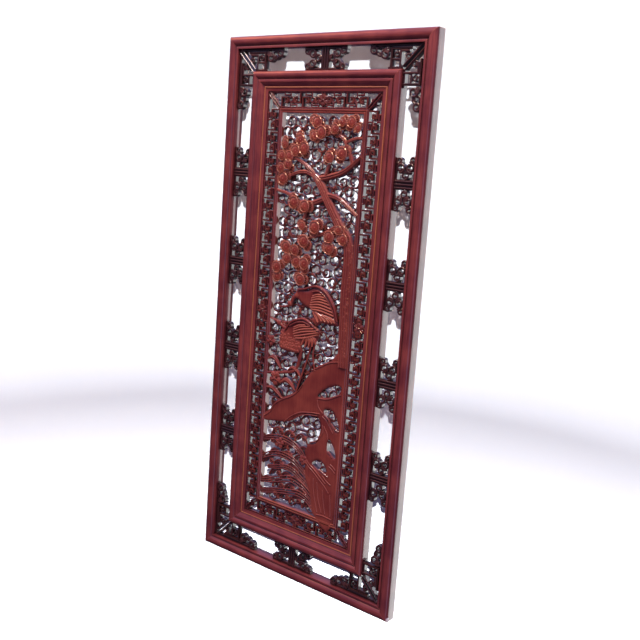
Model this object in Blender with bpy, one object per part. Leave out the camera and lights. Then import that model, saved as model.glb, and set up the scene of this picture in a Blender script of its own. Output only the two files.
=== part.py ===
# Carved rosewood wall panel with pine and cranes.
# Two moulded, mitred frames sit one inside the other. Pierced brackets and
# spacers hold them apart, a mitred fret border lines the inner one, and a
# pierced relief fills the middle.
# Metres, +Z up. The panel faces -Y and its back lies in the plane Y = 0. The
# origin is on the back of the top rail, halfway along, where it meets the wall.

import math

import bmesh
import bpy
import numpy as np
from mathutils import Matrix, Vector
from mathutils.geometry import delaunay_2d_cdt

# Overall size
PANEL_HEIGHT = 1.220
PANEL_WIDTH = 0.550
PANEL_DEPTH = 0.030

# Bands across the face, from the outer edge inwards
RAIL_WIDTH = 0.0275
SPACER_GAP = 0.0490
INNER_WIDTH = 0.0235
LINER_WIDTH = 0.0200
BORDER_WIDTH = 0.0360
RIM_WIDTH = 0.0090

# Heights above the wall, so each front face lies at minus this Y
RAIL_SHOULDER = 0.0215
RAIL_LIP = 0.0262
INNER_CREST = 0.0290
LINER_FRONT = 0.0190
SPACER_BACK = 0.0080
SPACER_FRONT = 0.0205
BORDER_BACK = 0.0060
BORDER_FRONT = 0.0170
CARVING_BACK = 0.0045
RIM_FRONT = 0.0185
CARVING_FRONT = 0.0245

# Lengths of the pieces that hold the frames apart
BRACKET_ARM = 0.134
SPACER_LENGTH = 0.116
SIDE_SPACER_COUNT = 4
SIDE_SPACER_PITCH = 0.2053

# Fine sizes
JOINT_GAP = 0.0003
LIP_WIDTH = 0.0050
QUIRK_WIDTH = 0.0012
FILLET_WIDTH = 0.0022
FILLET_HEIGHT = 0.0014
BORDER_BAR = 0.0034
BORDER_KEY = 0.077
SCROLL_BAND = 0.0050
RIB_HEIGHT = 0.0022
ARC_STEPS = 6
WELD = 0.00001

INNER_MARGIN = RAIL_WIDTH + SPACER_GAP
BORDER_MARGIN = INNER_MARGIN + INNER_WIDTH + LINER_WIDTH
CARVING_MARGIN = BORDER_MARGIN + BORDER_WIDTH
CENTRE_Z = RAIL_WIDTH / 2 - PANEL_HEIGHT / 2


def empty_scene():
    for old in list(bpy.data.objects):
        bpy.data.objects.remove(old, do_unlink=True)


def new_collection(name):
    group = bpy.data.collections.new(name)
    bpy.context.scene.collection.children.link(group)
    return group


def lacquer(name, colour, roughness):
    material = bpy.data.materials.new(name)
    material.use_nodes = True
    shader = material.node_tree.nodes["Principled BSDF"]
    shader.inputs["Base Color"].default_value = (*colour, 1.0)
    shader.inputs["Roughness"].default_value = roughness
    shader.inputs["Metallic"].default_value = 0.0
    return material


empty_scene()
PANEL = new_collection("carved_wall_panel")
FRAME_LACQUER = lacquer("frame_rosewood", (0.30, 0.045, 0.032), 0.30)
FRET_LACQUER = lacquer("fret_rosewood", (0.16, 0.026, 0.022), 0.38)
CARVING_LACQUER = lacquer("carving_rosewood", (0.24, 0.034, 0.026), 0.34)


def add_piece(name, mesh, matrix, material):
    """Puts a finished mesh into the panel's collection under its own name."""
    mesh.name = name
    mesh.materials.clear()
    mesh.materials.append(material)
    piece = bpy.data.objects.new(name, mesh)
    PANEL.objects.link(piece)
    piece.matrix_world = matrix
    return piece


def side_matrix(side, reach):
    """Frame of one side: X along it, Z outwards, origin on a line at reach.

    Sides 0, 1, 2 and 3 are the top, right, bottom and left."""
    turn = Matrix.Rotation(side * math.pi / 2, 4, "Y")
    centre = Matrix.Translation((0.0, 0.0, CENTRE_Z))
    return centre @ turn @ Matrix.Translation((0.0, 0.0, reach))


def half_size(side):
    """Half of the panel across a side, and half of it along the side."""
    half_height = PANEL_HEIGHT / 2
    half_width = PANEL_WIDTH / 2
    return (half_height, half_width) if side % 2 == 0 else (half_width, half_height)


# Moulded frame members

def cushion(start, width, low, crest):
    """Points of a rounded moulding between two edges of the same height."""
    points = []
    for step in range(ARC_STEPS + 1):
        angle = math.pi * step / ARC_STEPS
        across = start + width * (1 - math.cos(angle)) / 2
        points.append((across, low + (crest - low) * math.sin(angle)))
    return points


def outer_profile():
    """Cushion, quirk and small flat lip. Across the face, then off the wall."""
    cushion_width = RAIL_WIDTH - LIP_WIDTH - QUIRK_WIDTH
    points = [(0.0, 0.0)]
    points += cushion(0.0, cushion_width, RAIL_SHOULDER, PANEL_DEPTH)
    points += [
        (cushion_width + QUIRK_WIDTH, RAIL_SHOULDER),
        (cushion_width + QUIRK_WIDTH, RAIL_LIP),
        (RAIL_WIDTH, RAIL_LIP),
        (RAIL_WIDTH, 0.0),
    ]
    return points


def inner_profile():
    """Cushion and lip, then a sloping liner with a fillet and a flat band."""
    cushion_width = INNER_WIDTH - LIP_WIDTH - QUIRK_WIDTH
    slope_end = INNER_WIDTH + LINER_WIDTH / 2
    fillet_end = slope_end + FILLET_WIDTH
    full_width = INNER_WIDTH + LINER_WIDTH
    points = [(0.0, 0.0)]
    points += cushion(0.0, cushion_width, RAIL_SHOULDER, INNER_CREST)
    points += [
        (cushion_width + QUIRK_WIDTH, RAIL_SHOULDER),
        (cushion_width + QUIRK_WIDTH, RAIL_LIP),
        (INNER_WIDTH, RAIL_LIP),
        (slope_end, LINER_FRONT),
        (slope_end, LINER_FRONT + FILLET_HEIGHT),
        (fillet_end, LINER_FRONT + FILLET_HEIGHT),
        (fillet_end, LINER_FRONT),
        (full_width, LINER_FRONT),
        (full_width, 0.0),
    ]
    return points


def mitred_member(name, side, profile, margin):
    """One length of moulding, cut at 45 degrees at both ends."""
    reach, half_length = half_size(side)
    curve = bpy.data.curves.new(name + "_profile", "CURVE")
    curve.dimensions = "2D"
    curve.fill_mode = "BOTH"
    curve.extrude = half_length - margin
    spline = curve.splines.new("POLY")
    spline.points.add(len(profile) - 1)
    for point, (across, height) in zip(spline.points, profile):
        point.co = (across, height, 0.0, 1.0)
    spline.use_cyclic_u = True
    guide = bpy.data.objects.new(name + "_profile", curve)
    PANEL.objects.link(guide)
    graph = bpy.context.evaluated_depsgraph_get()
    mesh = bpy.data.meshes.new_from_object(guide.evaluated_get(graph))
    bpy.data.objects.remove(guide, do_unlink=True)

    work = bmesh.new()
    work.from_mesh(mesh)
    bmesh.ops.remove_doubles(work, verts=work.verts, dist=WELD)
    for vert in work.verts:
        across, height, along = vert.co
        cut = across + JOINT_GAP / 2
        along -= math.copysign(cut, along)
        vert.co = (along, -height, -across)
    work.normal_update()
    bmesh.ops.recalc_face_normals(work, faces=work.faces)
    work.to_mesh(mesh)
    work.free()
    return add_piece(name, mesh, side_matrix(side, reach - margin), FRAME_LACQUER)


# Pierced work, cut from a board in flat steps

def signed_area(outline):
    total = 0.0
    for (x0, y0), (x1, y1) in zip(outline, outline[1:] + outline[:1]):
        total += x0 * y1 - x1 * y0
    return total / 2


def covered(outline, points):
    """Which of the points lie inside an outline, by its winding number."""
    winding = np.zeros(len(points), dtype=int)
    px, py = points[:, 0], points[:, 1]
    for (x0, y0), (x1, y1) in zip(outline, outline[1:] + outline[:1]):
        side = (x1 - x0) * (py - y0) - (y1 - y0) * (px - x0)
        winding += ((y0 <= py) & (y1 > py) & (side > 0)).astype(int)
        winding -= ((y0 > py) & (y1 <= py) & (side < 0)).astype(int)
    return winding != 0


def triangulated(corners, edges):
    """Delaunay triangles between the corners that keep all the edges."""
    flat, _, triangles, *_ = delaunay_2d_cdt(corners, edges, [], 0, WELD)
    return flat, triangles


def outer_edges(triangles, height):
    """Each edge where the height changes, with the height on both its sides."""
    tops = {}
    for tri, top in zip(triangles, height):
        for i in range(3):
            tops[(tri[i], tri[(i + 1) % 3])] = top
    found = {}
    for (a, b), top in tops.items():
        other = tops.get((b, a), 0.0)
        if top > other:
            found[(a, b)] = (top, other)
    return found


def straightened(flat, edges):
    """The edges without the corners that only lie along a straight run."""
    joined = {}
    for a, b in edges:
        joined.setdefault(a, set()).add(b)
        joined.setdefault(b, set()).add(a)
    for middle in list(joined):
        if len(joined[middle]) != 2:
            continue
        a, b = joined[middle]
        before = flat[middle] - flat[a]
        after = flat[b] - flat[middle]
        if b not in joined[a] and abs(before.cross(after)) < WELD * (flat[b] - flat[a]).length:
            joined[a].symmetric_difference_update((middle, b))
            joined[b].symmetric_difference_update((middle, a))
            del joined[middle]
    index = {old: new for new, old in enumerate(joined)}
    corners = [flat[old] for old in joined]
    kept = {(index[min(a, b)], index[max(a, b)]) for a in joined for b in joined[a]}
    return corners, sorted(kept)


def stepped_board(shapes, holes, limit, back):
    """Closed mesh of a pierced board whose face is cut to several heights.

    shapes are pairs of an outline in the board's plane and the height of the
    wood there. Where shapes overlap the highest one stays, and the holes and
    all that lies past the limit are cut away."""
    outlines = [outline for outline, _ in shapes] + holes + [limit]

    def heights(flat, triangles):
        centres = np.array([sum((flat[i] for i in tri), Vector((0, 0))) / 3 for tri in triangles])
        height = np.zeros(len(triangles))
        for outline, level in shapes:
            height = np.where(covered(outline, centres), np.maximum(height, level), height)
        for outline in holes:
            height[covered(outline, centres)] = 0.0
        height[~covered(limit, centres)] = 0.0
        return height

    corners = []
    edges = []
    for outline in outlines:
        first = len(corners)
        corners += [Vector(point) for point in outline]
        edges += [(first + i, first + (i + 1) % len(outline)) for i in range(len(outline))]
    flat, triangles = triangulated(corners, edges)
    steps = outer_edges(triangles, heights(flat, triangles))
    flat, triangles = triangulated(*straightened(flat, steps))
    height = heights(flat, triangles)
    steps = outer_edges(triangles, height)

    work = bmesh.new()
    made = {}
    levels = {}
    for (a, b), (top, low) in steps.items():
        for index in (a, b):
            levels.setdefault(index, set()).update((top, low or back))

    def corner(place, level):
        key = (place.x, place.y, level)
        if key not in made:
            made[key] = work.verts.new((place.x, -level, place.y))
        return made[key]

    def upright(index, low, top):
        inner = [h for h in sorted(levels[index]) if low < h < top]
        return [corner(flat[index], h) for h in (low, *inner, top)]

    for tri, top in zip(triangles, height):
        if top > 0:
            work.faces.new([corner(flat[i], top) for i in tri])
    for (a, b), (top, low) in steps.items():
        low = low or back
        work.faces.new(upright(b, low, top) + upright(a, low, top)[::-1])

    rim = [edge for edge, (_, low) in steps.items() if low == 0.0]
    used = sorted({index for edge in rim for index in edge})
    index = {old: new for new, old in enumerate(used)}
    back_flat, back_triangles = triangulated(
        [flat[old] for old in used], [(index[a], index[b]) for a, b in rim])
    for tri, top in zip(back_triangles, heights(back_flat, back_triangles)):
        if top > 0:
            work.faces.new([corner(back_flat[i], back) for i in reversed(tri)])

    bmesh.ops.dissolve_limit(work, angle_limit=0.002, verts=work.verts, edges=work.edges)
    work.normal_update()
    bmesh.ops.recalc_face_normals(work, faces=work.faces)
    mesh = bpy.data.meshes.new("board")
    work.to_mesh(mesh)
    work.free()
    return mesh


def disc(x, z, radius, sides=10, turn=0.0):
    steps = [turn + 2 * math.pi * i / sides for i in range(sides)]
    return [(x + radius * math.cos(a), z + radius * math.sin(a)) for a in steps]


def box(x0, z0, x1, z1):
    return [(x0, z0), (x1, z0), (x1, z1), (x0, z1)]


def ribbon(path):
    """Outline of a stroke along a path of (x, z, width), mitred at its bends."""
    left = []
    right = []
    for i, (x, z, width) in enumerate(path):
        before = Vector(path[max(i - 1, 0)][:2])
        here = Vector((x, z))
        after = Vector(path[min(i + 1, len(path) - 1)][:2])
        ahead = (after - here).normalized() if after != here else (here - before).normalized()
        behind = (here - before).normalized() if before != here else ahead
        along = (ahead + behind).normalized()
        reach = width / 2 / max(along.dot(ahead), 0.5)
        across = Vector((-along.y, along.x)) * reach
        left.append(tuple(here + across))
        right.append(tuple(here - across))
    return left + right[::-1]


def arc_path(x, z, radius, start, sweep, width, steps):
    """Path for a ribbon along a round arc, angles in turns."""
    path = []
    for i in range(steps + 1):
        angle = 2 * math.pi * (start + sweep * i / steps)
        path.append((x + radius * math.cos(angle), z + radius * math.sin(angle), width))
    return path


def grown(outline, amount):
    """The outline moved outwards by a distance along its corner mitres."""
    turn = math.copysign(1.0, signed_area(outline))
    result = []
    for i, point in enumerate(outline):
        before = Vector(outline[i - 1])
        here = Vector(point)
        after = Vector(outline[(i + 1) % len(outline)])
        ahead = (after - here).normalized()
        behind = (here - before).normalized()
        along = (ahead + behind).normalized()
        across = Vector((along.y, -along.x)) * turn
        result.append(tuple(here + across * (amount / max(along.dot(ahead), 0.5))))
    return result


# Corner brackets between the frames

def bracket_drawing():
    """One corner piece with its outer corner at the origin, arms along +X, -Z."""
    gap = SPACER_GAP
    arm = BRACKET_ARM
    heel = gap * 1.76
    top = SPACER_FRONT
    low = top - RIB_HEIGHT
    bar = gap * 0.09
    edge = [
        (0.0, 0.0), (arm, 0.0), (arm, -gap * 0.26), (arm * 0.94, -gap * 0.38),
        (arm * 0.84, -gap * 0.47), (arm * 0.82, -gap * 0.62), (heel, -gap * 0.68),
        (heel, -gap), (gap, -gap),
    ]
    mirrored = [(-z, -x) for x, z in edge[1:-1]]
    outline = edge + mirrored[::-1]
    shapes = [(outline, low)]
    holes = []
    start = gap * 0.12
    for offset in (-0.07, 0.07):
        shift = gap * offset
        diagonal = [(start + shift, -start + shift, bar), (gap + shift, -gap + shift, bar)]
        shapes.append((ribbon(diagonal), top))
    key = [(gap * 0.62, -gap * 0.14, bar), (gap * 1.58, -gap * 0.14, bar), (gap * 1.58, -gap, bar)]
    shapes.append((ribbon(key), top))
    shapes.append((ribbon([(-z, -x, width) for x, z, width in key]), top))
    arm_holes = [
        [(gap * 0.50, -gap * 0.26), (gap * 0.98, -gap * 0.26), (gap * 0.98, -gap * 0.74)],
        box(gap * 1.16, -gap * 0.88, gap * 1.46, -gap * 0.26),
        disc(arm * 0.74, -gap * 0.34, gap * 0.10, 5),
    ]
    for hole in arm_holes:
        holes.append(hole)
        holes.append([(-z, -x) for x, z in hole])
    return shapes, holes, grown(outline, -JOINT_GAP)


def add_brackets():
    shapes, holes, limit = bracket_drawing()
    mesh = stepped_board(shapes, holes, limit, SPACER_BACK)
    right = PANEL_WIDTH / 2 - RAIL_WIDTH
    above = PANEL_HEIGHT / 2 - RAIL_WIDTH
    corners = [
        ("top_left", -right, above, 0),
        ("top_right", right, above, 1),
        ("bottom_right", right, -above, 2),
        ("bottom_left", -right, -above, 3),
    ]
    for label, x, z, quarter in corners:
        place = Matrix.Translation((x, 0.0, CENTRE_Z + z))
        turn = Matrix.Rotation(quarter * math.pi / 2, 4, "Y")
        add_piece("corner_bracket_" + label, mesh.copy(), place @ turn, FRET_LACQUER)


# Spacers between the frames

def spacer_drawing():
    """One spacer: X along the frame, Z from 0 at the outer frame down the gap."""
    gap = SPACER_GAP
    half = SPACER_LENGTH / 2
    top = SPACER_FRONT
    low = top - RIB_HEIGHT
    bar = gap * 0.08
    right = [
        (half, 0.0), (half, -gap * 0.14), (half * 0.88, -gap * 0.26), (half * 0.74, -gap * 0.32),
        (half * 0.60, -gap * 0.50), (half * 0.74, -gap * 0.70), (half * 0.90, -gap * 0.84),
        (half * 0.94, -gap),
    ]
    outline = [(-x, z) for x, z in right] + right[::-1]
    shapes = [(outline, low)]
    holes = []
    for x in (-0.09, 0.09):
        shapes.append((ribbon([(half * x, -gap * 0.04, bar), (half * x, -gap * 0.96, bar)]), top))
    for way in (-1, 1):
        for z in (-0.20, -0.80):
            holes.append(disc(way * half * 0.62, gap * z, gap * 0.10, 4, 0.6))
    return shapes, holes, grown(outline, -JOINT_GAP)


def add_spacers():
    shapes, holes, limit = spacer_drawing()
    mesh = stepped_board(shapes, holes, limit, SPACER_BACK)
    places = [("spacer_top", 0, 0.0), ("spacer_bottom", 2, 0.0)]
    for i in range(SIDE_SPACER_COUNT):
        along = ((SIDE_SPACER_COUNT - 1) / 2 - i) * SIDE_SPACER_PITCH
        places.append((f"spacer_right_{i + 1}", 1, -along))
        places.append((f"spacer_left_{i + 1}", 3, along))
    for name, side, along in places:
        reach = half_size(side)[0] - RAIL_WIDTH
        shift = Matrix.Translation((along, 0.0, 0.0))
        add_piece(name, mesh.copy(), side_matrix(side, reach) @ shift, FRET_LACQUER)


# Fret border

def border_drawing(half_length):
    """One mitred strip: X along it, Z from 0 at its outer edge inwards."""
    width = BORDER_WIDTH
    bar = BORDER_BAR
    inner_half = half_length - width
    limit = [(-half_length, 0.0), (half_length, 0.0), (inner_half, -width), (-inner_half, -width)]
    limit = grown(limit, -JOINT_GAP)
    shapes = [
        (box(-half_length, -bar, half_length, 0.0), BORDER_FRONT),
        (box(-half_length, -width, half_length, bar - width), BORDER_FRONT),
    ]
    for way in (-1, 1):
        mitre = [(way * half_length, 0.0, bar * 2), (way * inner_half, -width, bar * 2)]
        shapes.append((ribbon(mitre), BORDER_FRONT + RIB_HEIGHT / 2))
    keys = max(1, round(inner_half / BORDER_KEY))
    pitch = inner_half / keys
    high, low = -width * 0.34, -width + bar / 2
    for way in (-1, 1):
        path = [(0.0, high, bar)]
        for key in range(keys):
            foot = way * (key + 0.36) * pitch
            heel = way * (key + 0.76) * pitch
            stay = way * (key + 1.06) * pitch
            path += [(foot, high, bar), (foot, low, bar), (heel, low, bar), (heel, high, bar)]
            shapes.append((ribbon([(stay, high, bar), (stay, 0.0, bar)]), BORDER_FRONT))
        path.append((way * inner_half * 1.04, high, bar))
        shapes.append((ribbon(path), BORDER_FRONT))
    shapes.append((disc(0.0, -width / 2, width * 0.36, 8), BORDER_FRONT + RIB_HEIGHT / 2))
    return shapes, [], limit


def add_border():
    for side, label in enumerate(("top", "right", "bottom", "left")):
        reach, half_length = half_size(side)
        shapes, holes, limit = border_drawing(half_length - BORDER_MARGIN)
        mesh = stepped_board(shapes, holes, limit, BORDER_BACK)
        matrix = side_matrix(side, reach - BORDER_MARGIN)
        add_piece("border_fret_" + label, mesh, matrix, FRET_LACQUER)


# Pierced relief of pine, cranes and rocks. It is drawn on a sheet 220 wide and
# 890 high with its middle at zero, and the sheet is stretched over the field.

SHEET_WIDTH = 220
SHEET_HEIGHT = 890

NEEDLE_CLUSTERS = [
    (-7, 426, 16), (6, 405, 17), (43, 413, 14), (61, 428, 12), (85, 428, 15), (102, 416, 11),
    (-14, 397, 13), (-50, 388, 15), (-38, 370, 17), (-63, 364, 15), (-79, 351, 15),
    (-100, 352, 13), (-94, 378, 12), (-82, 334, 14), (-101, 325, 13), (-94, 302, 17),
    (65, 363, 17), (33, 354, 15), (-58, 252, 17), (-26, 246, 16), (6, 203, 17),
    (-31, 203, 12), (-22, 170, 17), (47, 186, 16), (48, 162, 16), (84, 184, 15),
    (70, 203, 12), (-72, 152, 16), (-46, 148, 14), (-67, 128, 14), (-40, 123, 16),
    (-17, 121, 16), (-95, 105, 16), (-94, 84, 14), (-25, 85, 16),
]

CLUSTER_SIDES = 7

BRANCHES = [
    [(104, -90, 30), (100, -20, 30), (98, 70, 33), (99, 145, 32), (90, 184, 28), (65, 215, 22),
     (38, 252, 22), (8, 297, 20), (-8, 312, 13)],
    [(-5, 306, 12), (-18, 322, 11), (-44, 340, 8), (-72, 351, 6)],
    [(-3, 310, 10), (-36, 320, 9), (-70, 312, 8), (-92, 300, 6)],
    [(0, 306, 14), (36, 314, 13), (74, 328, 11), (112, 358, 9)],
    [(91, 342, 10), (80, 368, 9), (62, 394, 8), (34, 404, 8), (6, 400, 6)],
    [(70, 385, 7), (92, 394, 6), (112, 396, 6)],
    [(22, 314, 6), (33, 348, 5)],
    [(-24, 244, 6), (-32, 208, 5)],
    [(-20, 118, 6), (-25, 88, 6)],
    [(-88, 348, 6), (-93, 374, 6)],
    [(28, 268, 13), (-6, 255, 12), (-40, 253, 10), (-78, 269, 7), (-112, 276, 6)],
    [(22, 275, 12), (62, 268, 10), (112, 236, 8)],
    [(66, 212, 10), (30, 192, 9), (-8, 180, 8), (-40, 156, 8), (-76, 124, 7), (-112, 106, 6)],
]

UPPER_CRANE = [
    (-40, 48), (-34, 62), (-24, 67), (-2, 65), (10, 73), (24, 75), (38, 71), (52, 60), (66, 44),
    (77, 25), (84, 6), (81, -3), (39, -3), (26, -12), (10, 0), (20, 10), (14, 20), (-15, 30),
    (-27, 37),
]
UPPER_WING = [
    (5, 32), (8, 60), (22, 65), (38, 61), (54, 48), (68, 29), (73, 16), (48, 15), (22, 22),
]
LOWER_CRANE = [
    (-77, -55), (-74, -35), (-62, -29), (-45, -11), (-28, -4), (-8, -1), (14, -9), (34, -20),
    (36, -32), (24, -52), (-8, -53), (-13, -78), (-44, -82), (-75, -78),
]
LOWER_WING = [
    (-56, -42), (-44, -20), (-22, -10), (2, -11), (22, -22), (24, -36), (2, -40), (-26, -48),
]
CRANE_NECKS = [
    [(-58, -32, 9), (-70, -27, 8), (-80, -22, 8), (-92, -17, 4), (-106, -14, 3)],
    [(-14, -66, 10), (-17, -95, 9), (-28, -122, 8), (-60, -133, 7), (-112, -143, 6)],
    [(-30, 52, 10), (-44, 40, 8), (-52, 24, 7), (-68, 18, 4), (-84, 16, 3)],
    [(18, -48, 5), (8, -86, 4), (-6, -128, 4), (-20, -172, 4)],
    [(26, -48, 5), (22, -80, 4), (30, -112, 4)],
]

ROCKS = [
    (-113, -256), (-113, -241), (-94, -228), (-82, -208), (-60, -192), (-36, -180), (-15, -164),
    (0, -144), (22, -112), (41, -98), (72, -82), (113, -70), (113, -447), (56, -447), (45, -420),
    (40, -398), (24, -364), (19, -330), (22, -284), (44, -274), (57, -242), (53, -221), (40, -212),
    (18, -213), (-16, -228), (-34, -243), (-79, -252),
]
ROCK_TERRACES = [
    [(-60, -206), (-30, -194), (0, -164), (30, -122), (72, -96), (108, -88), (108, -126),
     (84, -132), (50, -148), (34, -170), (0, -196), (-30, -212)],
    [(64, -346), (108, -356), (108, -440), (66, -440), (54, -410), (50, -376)],
]
ROCK_HOLES = [
    [(42, -167), (54, -152), (72, -140), (92, -133), (105, -136), (99, -150), (82, -160),
     (62, -166)],
    [(62, -196), (74, -189), (88, -193), (98, -206), (106, -225), (102, -234), (88, -228),
     (70, -212)],
    [(39, -322), (55, -311), (70, -315), (82, -331), (70, -337), (50, -331)],
    [(80, -258), (91, -265), (101, -284), (102, -295), (91, -292), (78, -283)],
]

WATER = [
    [(-112, -268, 9), (-62, -276, 10), (-24, -264, 10), (28, -290, 7)],
    [(-112, -312, 9), (-66, -300, 10), (-28, -308, 10), (26, -330, 8)],
    [(-112, -346, 9), (-62, -352, 10), (-24, -338, 10), (30, -366, 8)],
    [(-112, -392, 8), (-60, -374, 8), (-12, -380, 9), (46, -404, 8)],
    [(-112, -416, 7), (-52, -400, 8), (6, -410, 8), (54, -432, 8)],
    [(-96, -266, 6), (-74, -352, 6), (-92, -448, 6)],
    [(-44, -270, 6), (-30, -338, 6), (-46, -448, 6)],
    [(4, -280, 6), (-2, -380, 6), (14, -448, 6)],
]

# Centre, radius, first angle and sweep in turns
SCROLLS = [
    (-84, 414, 29, 0.1, 1.0), (96, 306, 26, 0.1, 0.8), (-62, 292, 24, 0.6, 0.8),
    (-86, 230, 26, 0.2, 0.8), (-66, 196, 24, 0.0, 1.0), (16, 138, 26, 0.4, 0.8),
    (56, 116, 24, 0.1, 0.8), (-64, 56, 26, 0.0, 1.0), (-94, 8, 24, 0.7, 0.8),
    (66, -34, 26, 0.3, 0.9), (-54, -104, 26, 0.1, 0.8), (14, -236, 27, 0.1, 1.0),
]
SCROLL_STEPS = 5

BLOSSOMS = [(-84, -152, 17), (-66, -22, 7), (-58, -300, 13), (14, -322, 12), (-103, -66, 13)]
LEAVES = [
    [(-108, -176, 3), (-92, -176, 10), (-76, -184, 10), (-60, -194, 3)],
    [(-70, -160, 4), (-54, -150, 11), (-38, -156, 10), (-24, -168, 3)],
    [(-110, -110, 3), (-96, -104, 10), (-82, -112, 9), (-70, -126, 3)],
]


def carving_drawing():
    """Outlines and heights of the relief, with its rim, in the field's plane."""
    half_width = PANEL_WIDTH / 2 - CARVING_MARGIN
    half_height = PANEL_HEIGHT / 2 - CARVING_MARGIN
    field_width = 2 * (half_width - RIM_WIDTH)
    field_height = 2 * (half_height - RIM_WIDTH)
    unit = field_width / SHEET_WIDTH
    rise = field_height / SHEET_HEIGHT

    def placed(outline):
        return [(x * unit, z * rise) for x, z in outline]

    def stroke(path):
        return placed(ribbon(path))

    def level(share):
        """Height of the wood, from the low background up to the front."""
        ground = CARVING_BACK + (CARVING_FRONT - CARVING_BACK) / 2
        return ground + (CARVING_FRONT - ground) * share

    shapes = []
    half_bead = RIM_WIDTH / 2
    for x in (-1, 1):
        side = [x * half_width, x * (half_width - RIM_WIDTH)]
        bead = [x * half_width, x * (half_width - half_bead)]
        shapes.append((box(min(side), -half_height, max(side), half_height), RIM_FRONT - RIB_HEIGHT))
        shapes.append((box(min(bead), -half_height, max(bead), half_height), RIM_FRONT))
    for z in (-1, 1):
        side = [z * half_height, z * (half_height - RIM_WIDTH)]
        bead = [z * half_height, z * (half_height - half_bead)]
        shapes.append((box(-half_width, min(side), half_width, max(side)), RIM_FRONT - RIB_HEIGHT))
        shapes.append((box(-half_width, min(bead), half_width, max(bead)), RIM_FRONT))

    for x, z, radius, start, sweep in SCROLLS:
        path = arc_path(x, z, radius, start, sweep, SCROLL_BAND / unit, SCROLL_STEPS)
        shapes.append((stroke(path), level(0.0)))
    for path in WATER:
        shapes.append((stroke(path), level(0.25)))
    for path in LEAVES:
        shapes.append((stroke(path), level(0.35)))
    shapes.append((placed(ROCKS), level(0.3)))
    for terrace in ROCK_TERRACES:
        shapes.append((placed(terrace), level(0.55)))
    for path in BRANCHES:
        shapes.append((stroke(path), level(0.6)))
    for i, (x, z, radius) in enumerate(NEEDLE_CLUSTERS):
        share = 0.7 + 0.1 * (i % 3)
        shapes.append((placed(disc(x, z, radius, CLUSTER_SIDES, x)), level(share)))
    for x, z, radius in BLOSSOMS:
        shapes.append((placed(disc(x, z, radius, 8, x)), level(0.5)))
        shapes.append((placed(disc(x, z, radius * 0.5, 6)), level(0.7)))
    for path in CRANE_NECKS:
        shapes.append((stroke(path), level(0.55)))
    shapes.append((placed(UPPER_CRANE), level(0.65)))
    shapes.append((placed(LOWER_CRANE), level(0.68)))
    shapes.append((placed(UPPER_WING), level(0.85)))
    shapes.append((placed(LOWER_WING), level(0.88)))
    for feather in range(3):
        share = feather / 2
        shapes.append((stroke([(10, 56 - 18 * share, 3), (42 + 22 * share, 54 - 28 * share, 3)]),
                       level(1.0)))
        shapes.append((stroke([(-44 + 6 * share, -40 + 16 * share, 3), (14, -34 + 16 * share, 3)]),
                       level(1.0)))
    holes = [placed(hole) for hole in ROCK_HOLES]
    limit = box(-half_width, -half_height, half_width, half_height)
    return shapes, holes, grown(limit, -JOINT_GAP)


def add_carving():
    shapes, holes, limit = carving_drawing()
    mesh = stepped_board(shapes, holes, limit, CARVING_BACK)
    add_piece("carved_panel", mesh, Matrix.Translation((0.0, 0.0, CENTRE_Z)), CARVING_LACQUER)


def add_frames():
    labels = ("rail_top", "stile_right", "rail_bottom", "stile_left")
    for side, label in enumerate(labels):
        mitred_member("outer_" + label, side, outer_profile(), 0.0)
        mitred_member("inner_" + label, side, inner_profile(), INNER_MARGIN)


add_frames()
add_brackets()
add_spacers()
add_border()
add_carving()
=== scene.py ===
import math
import random

import bmesh
import bpy
import numpy as np
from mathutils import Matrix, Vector
from mathutils.geometry import delaunay_2d_cdt


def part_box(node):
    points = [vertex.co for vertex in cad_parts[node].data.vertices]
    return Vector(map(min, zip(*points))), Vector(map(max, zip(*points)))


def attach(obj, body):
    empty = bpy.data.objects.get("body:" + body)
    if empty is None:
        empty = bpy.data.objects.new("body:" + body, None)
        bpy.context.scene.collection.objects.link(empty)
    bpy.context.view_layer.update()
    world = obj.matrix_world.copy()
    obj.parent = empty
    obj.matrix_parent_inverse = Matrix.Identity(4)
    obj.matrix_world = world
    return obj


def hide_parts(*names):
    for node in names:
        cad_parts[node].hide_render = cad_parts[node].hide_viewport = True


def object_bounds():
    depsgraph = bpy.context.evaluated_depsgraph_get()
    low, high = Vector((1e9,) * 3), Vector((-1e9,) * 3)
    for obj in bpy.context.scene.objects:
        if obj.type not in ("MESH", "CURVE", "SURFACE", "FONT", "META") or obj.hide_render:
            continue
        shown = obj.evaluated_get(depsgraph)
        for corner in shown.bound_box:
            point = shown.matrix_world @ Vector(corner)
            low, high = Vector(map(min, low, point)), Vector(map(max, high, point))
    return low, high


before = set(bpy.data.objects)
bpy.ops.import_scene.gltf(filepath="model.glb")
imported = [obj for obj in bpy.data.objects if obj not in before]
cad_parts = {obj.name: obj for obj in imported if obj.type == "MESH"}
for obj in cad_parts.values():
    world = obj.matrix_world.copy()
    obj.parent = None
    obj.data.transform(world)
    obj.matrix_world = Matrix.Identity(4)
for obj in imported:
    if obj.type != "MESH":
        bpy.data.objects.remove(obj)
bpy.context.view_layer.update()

# The outer frame
# Four lengths of rosewood moulding, mitred at the corners. Each has a rounded
# front, a quirk and a flat lip, and is finished in glossy red-brown lacquer.

MM = 0.001
PANEL_LOW, PANEL_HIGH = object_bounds()
MIDDLE_Z = (PANEL_LOW.z + PANEL_HIGH.z) / 2
JOINT = 0.15 * MM
RAIL_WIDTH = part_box("outer_rail_top")[1].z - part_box("outer_rail_top")[0].z
CUSHION_LOW = 21.5 * MM
CUSHION_CREST = 30.0 * MM
LIP_HEIGHT = 26.2 * MM
LIP_WIDTH = 5.0 * MM
QUIRK_WIDTH = 1.2 * MM
QUIRK_FLOOR = 24.4 * MM

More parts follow.
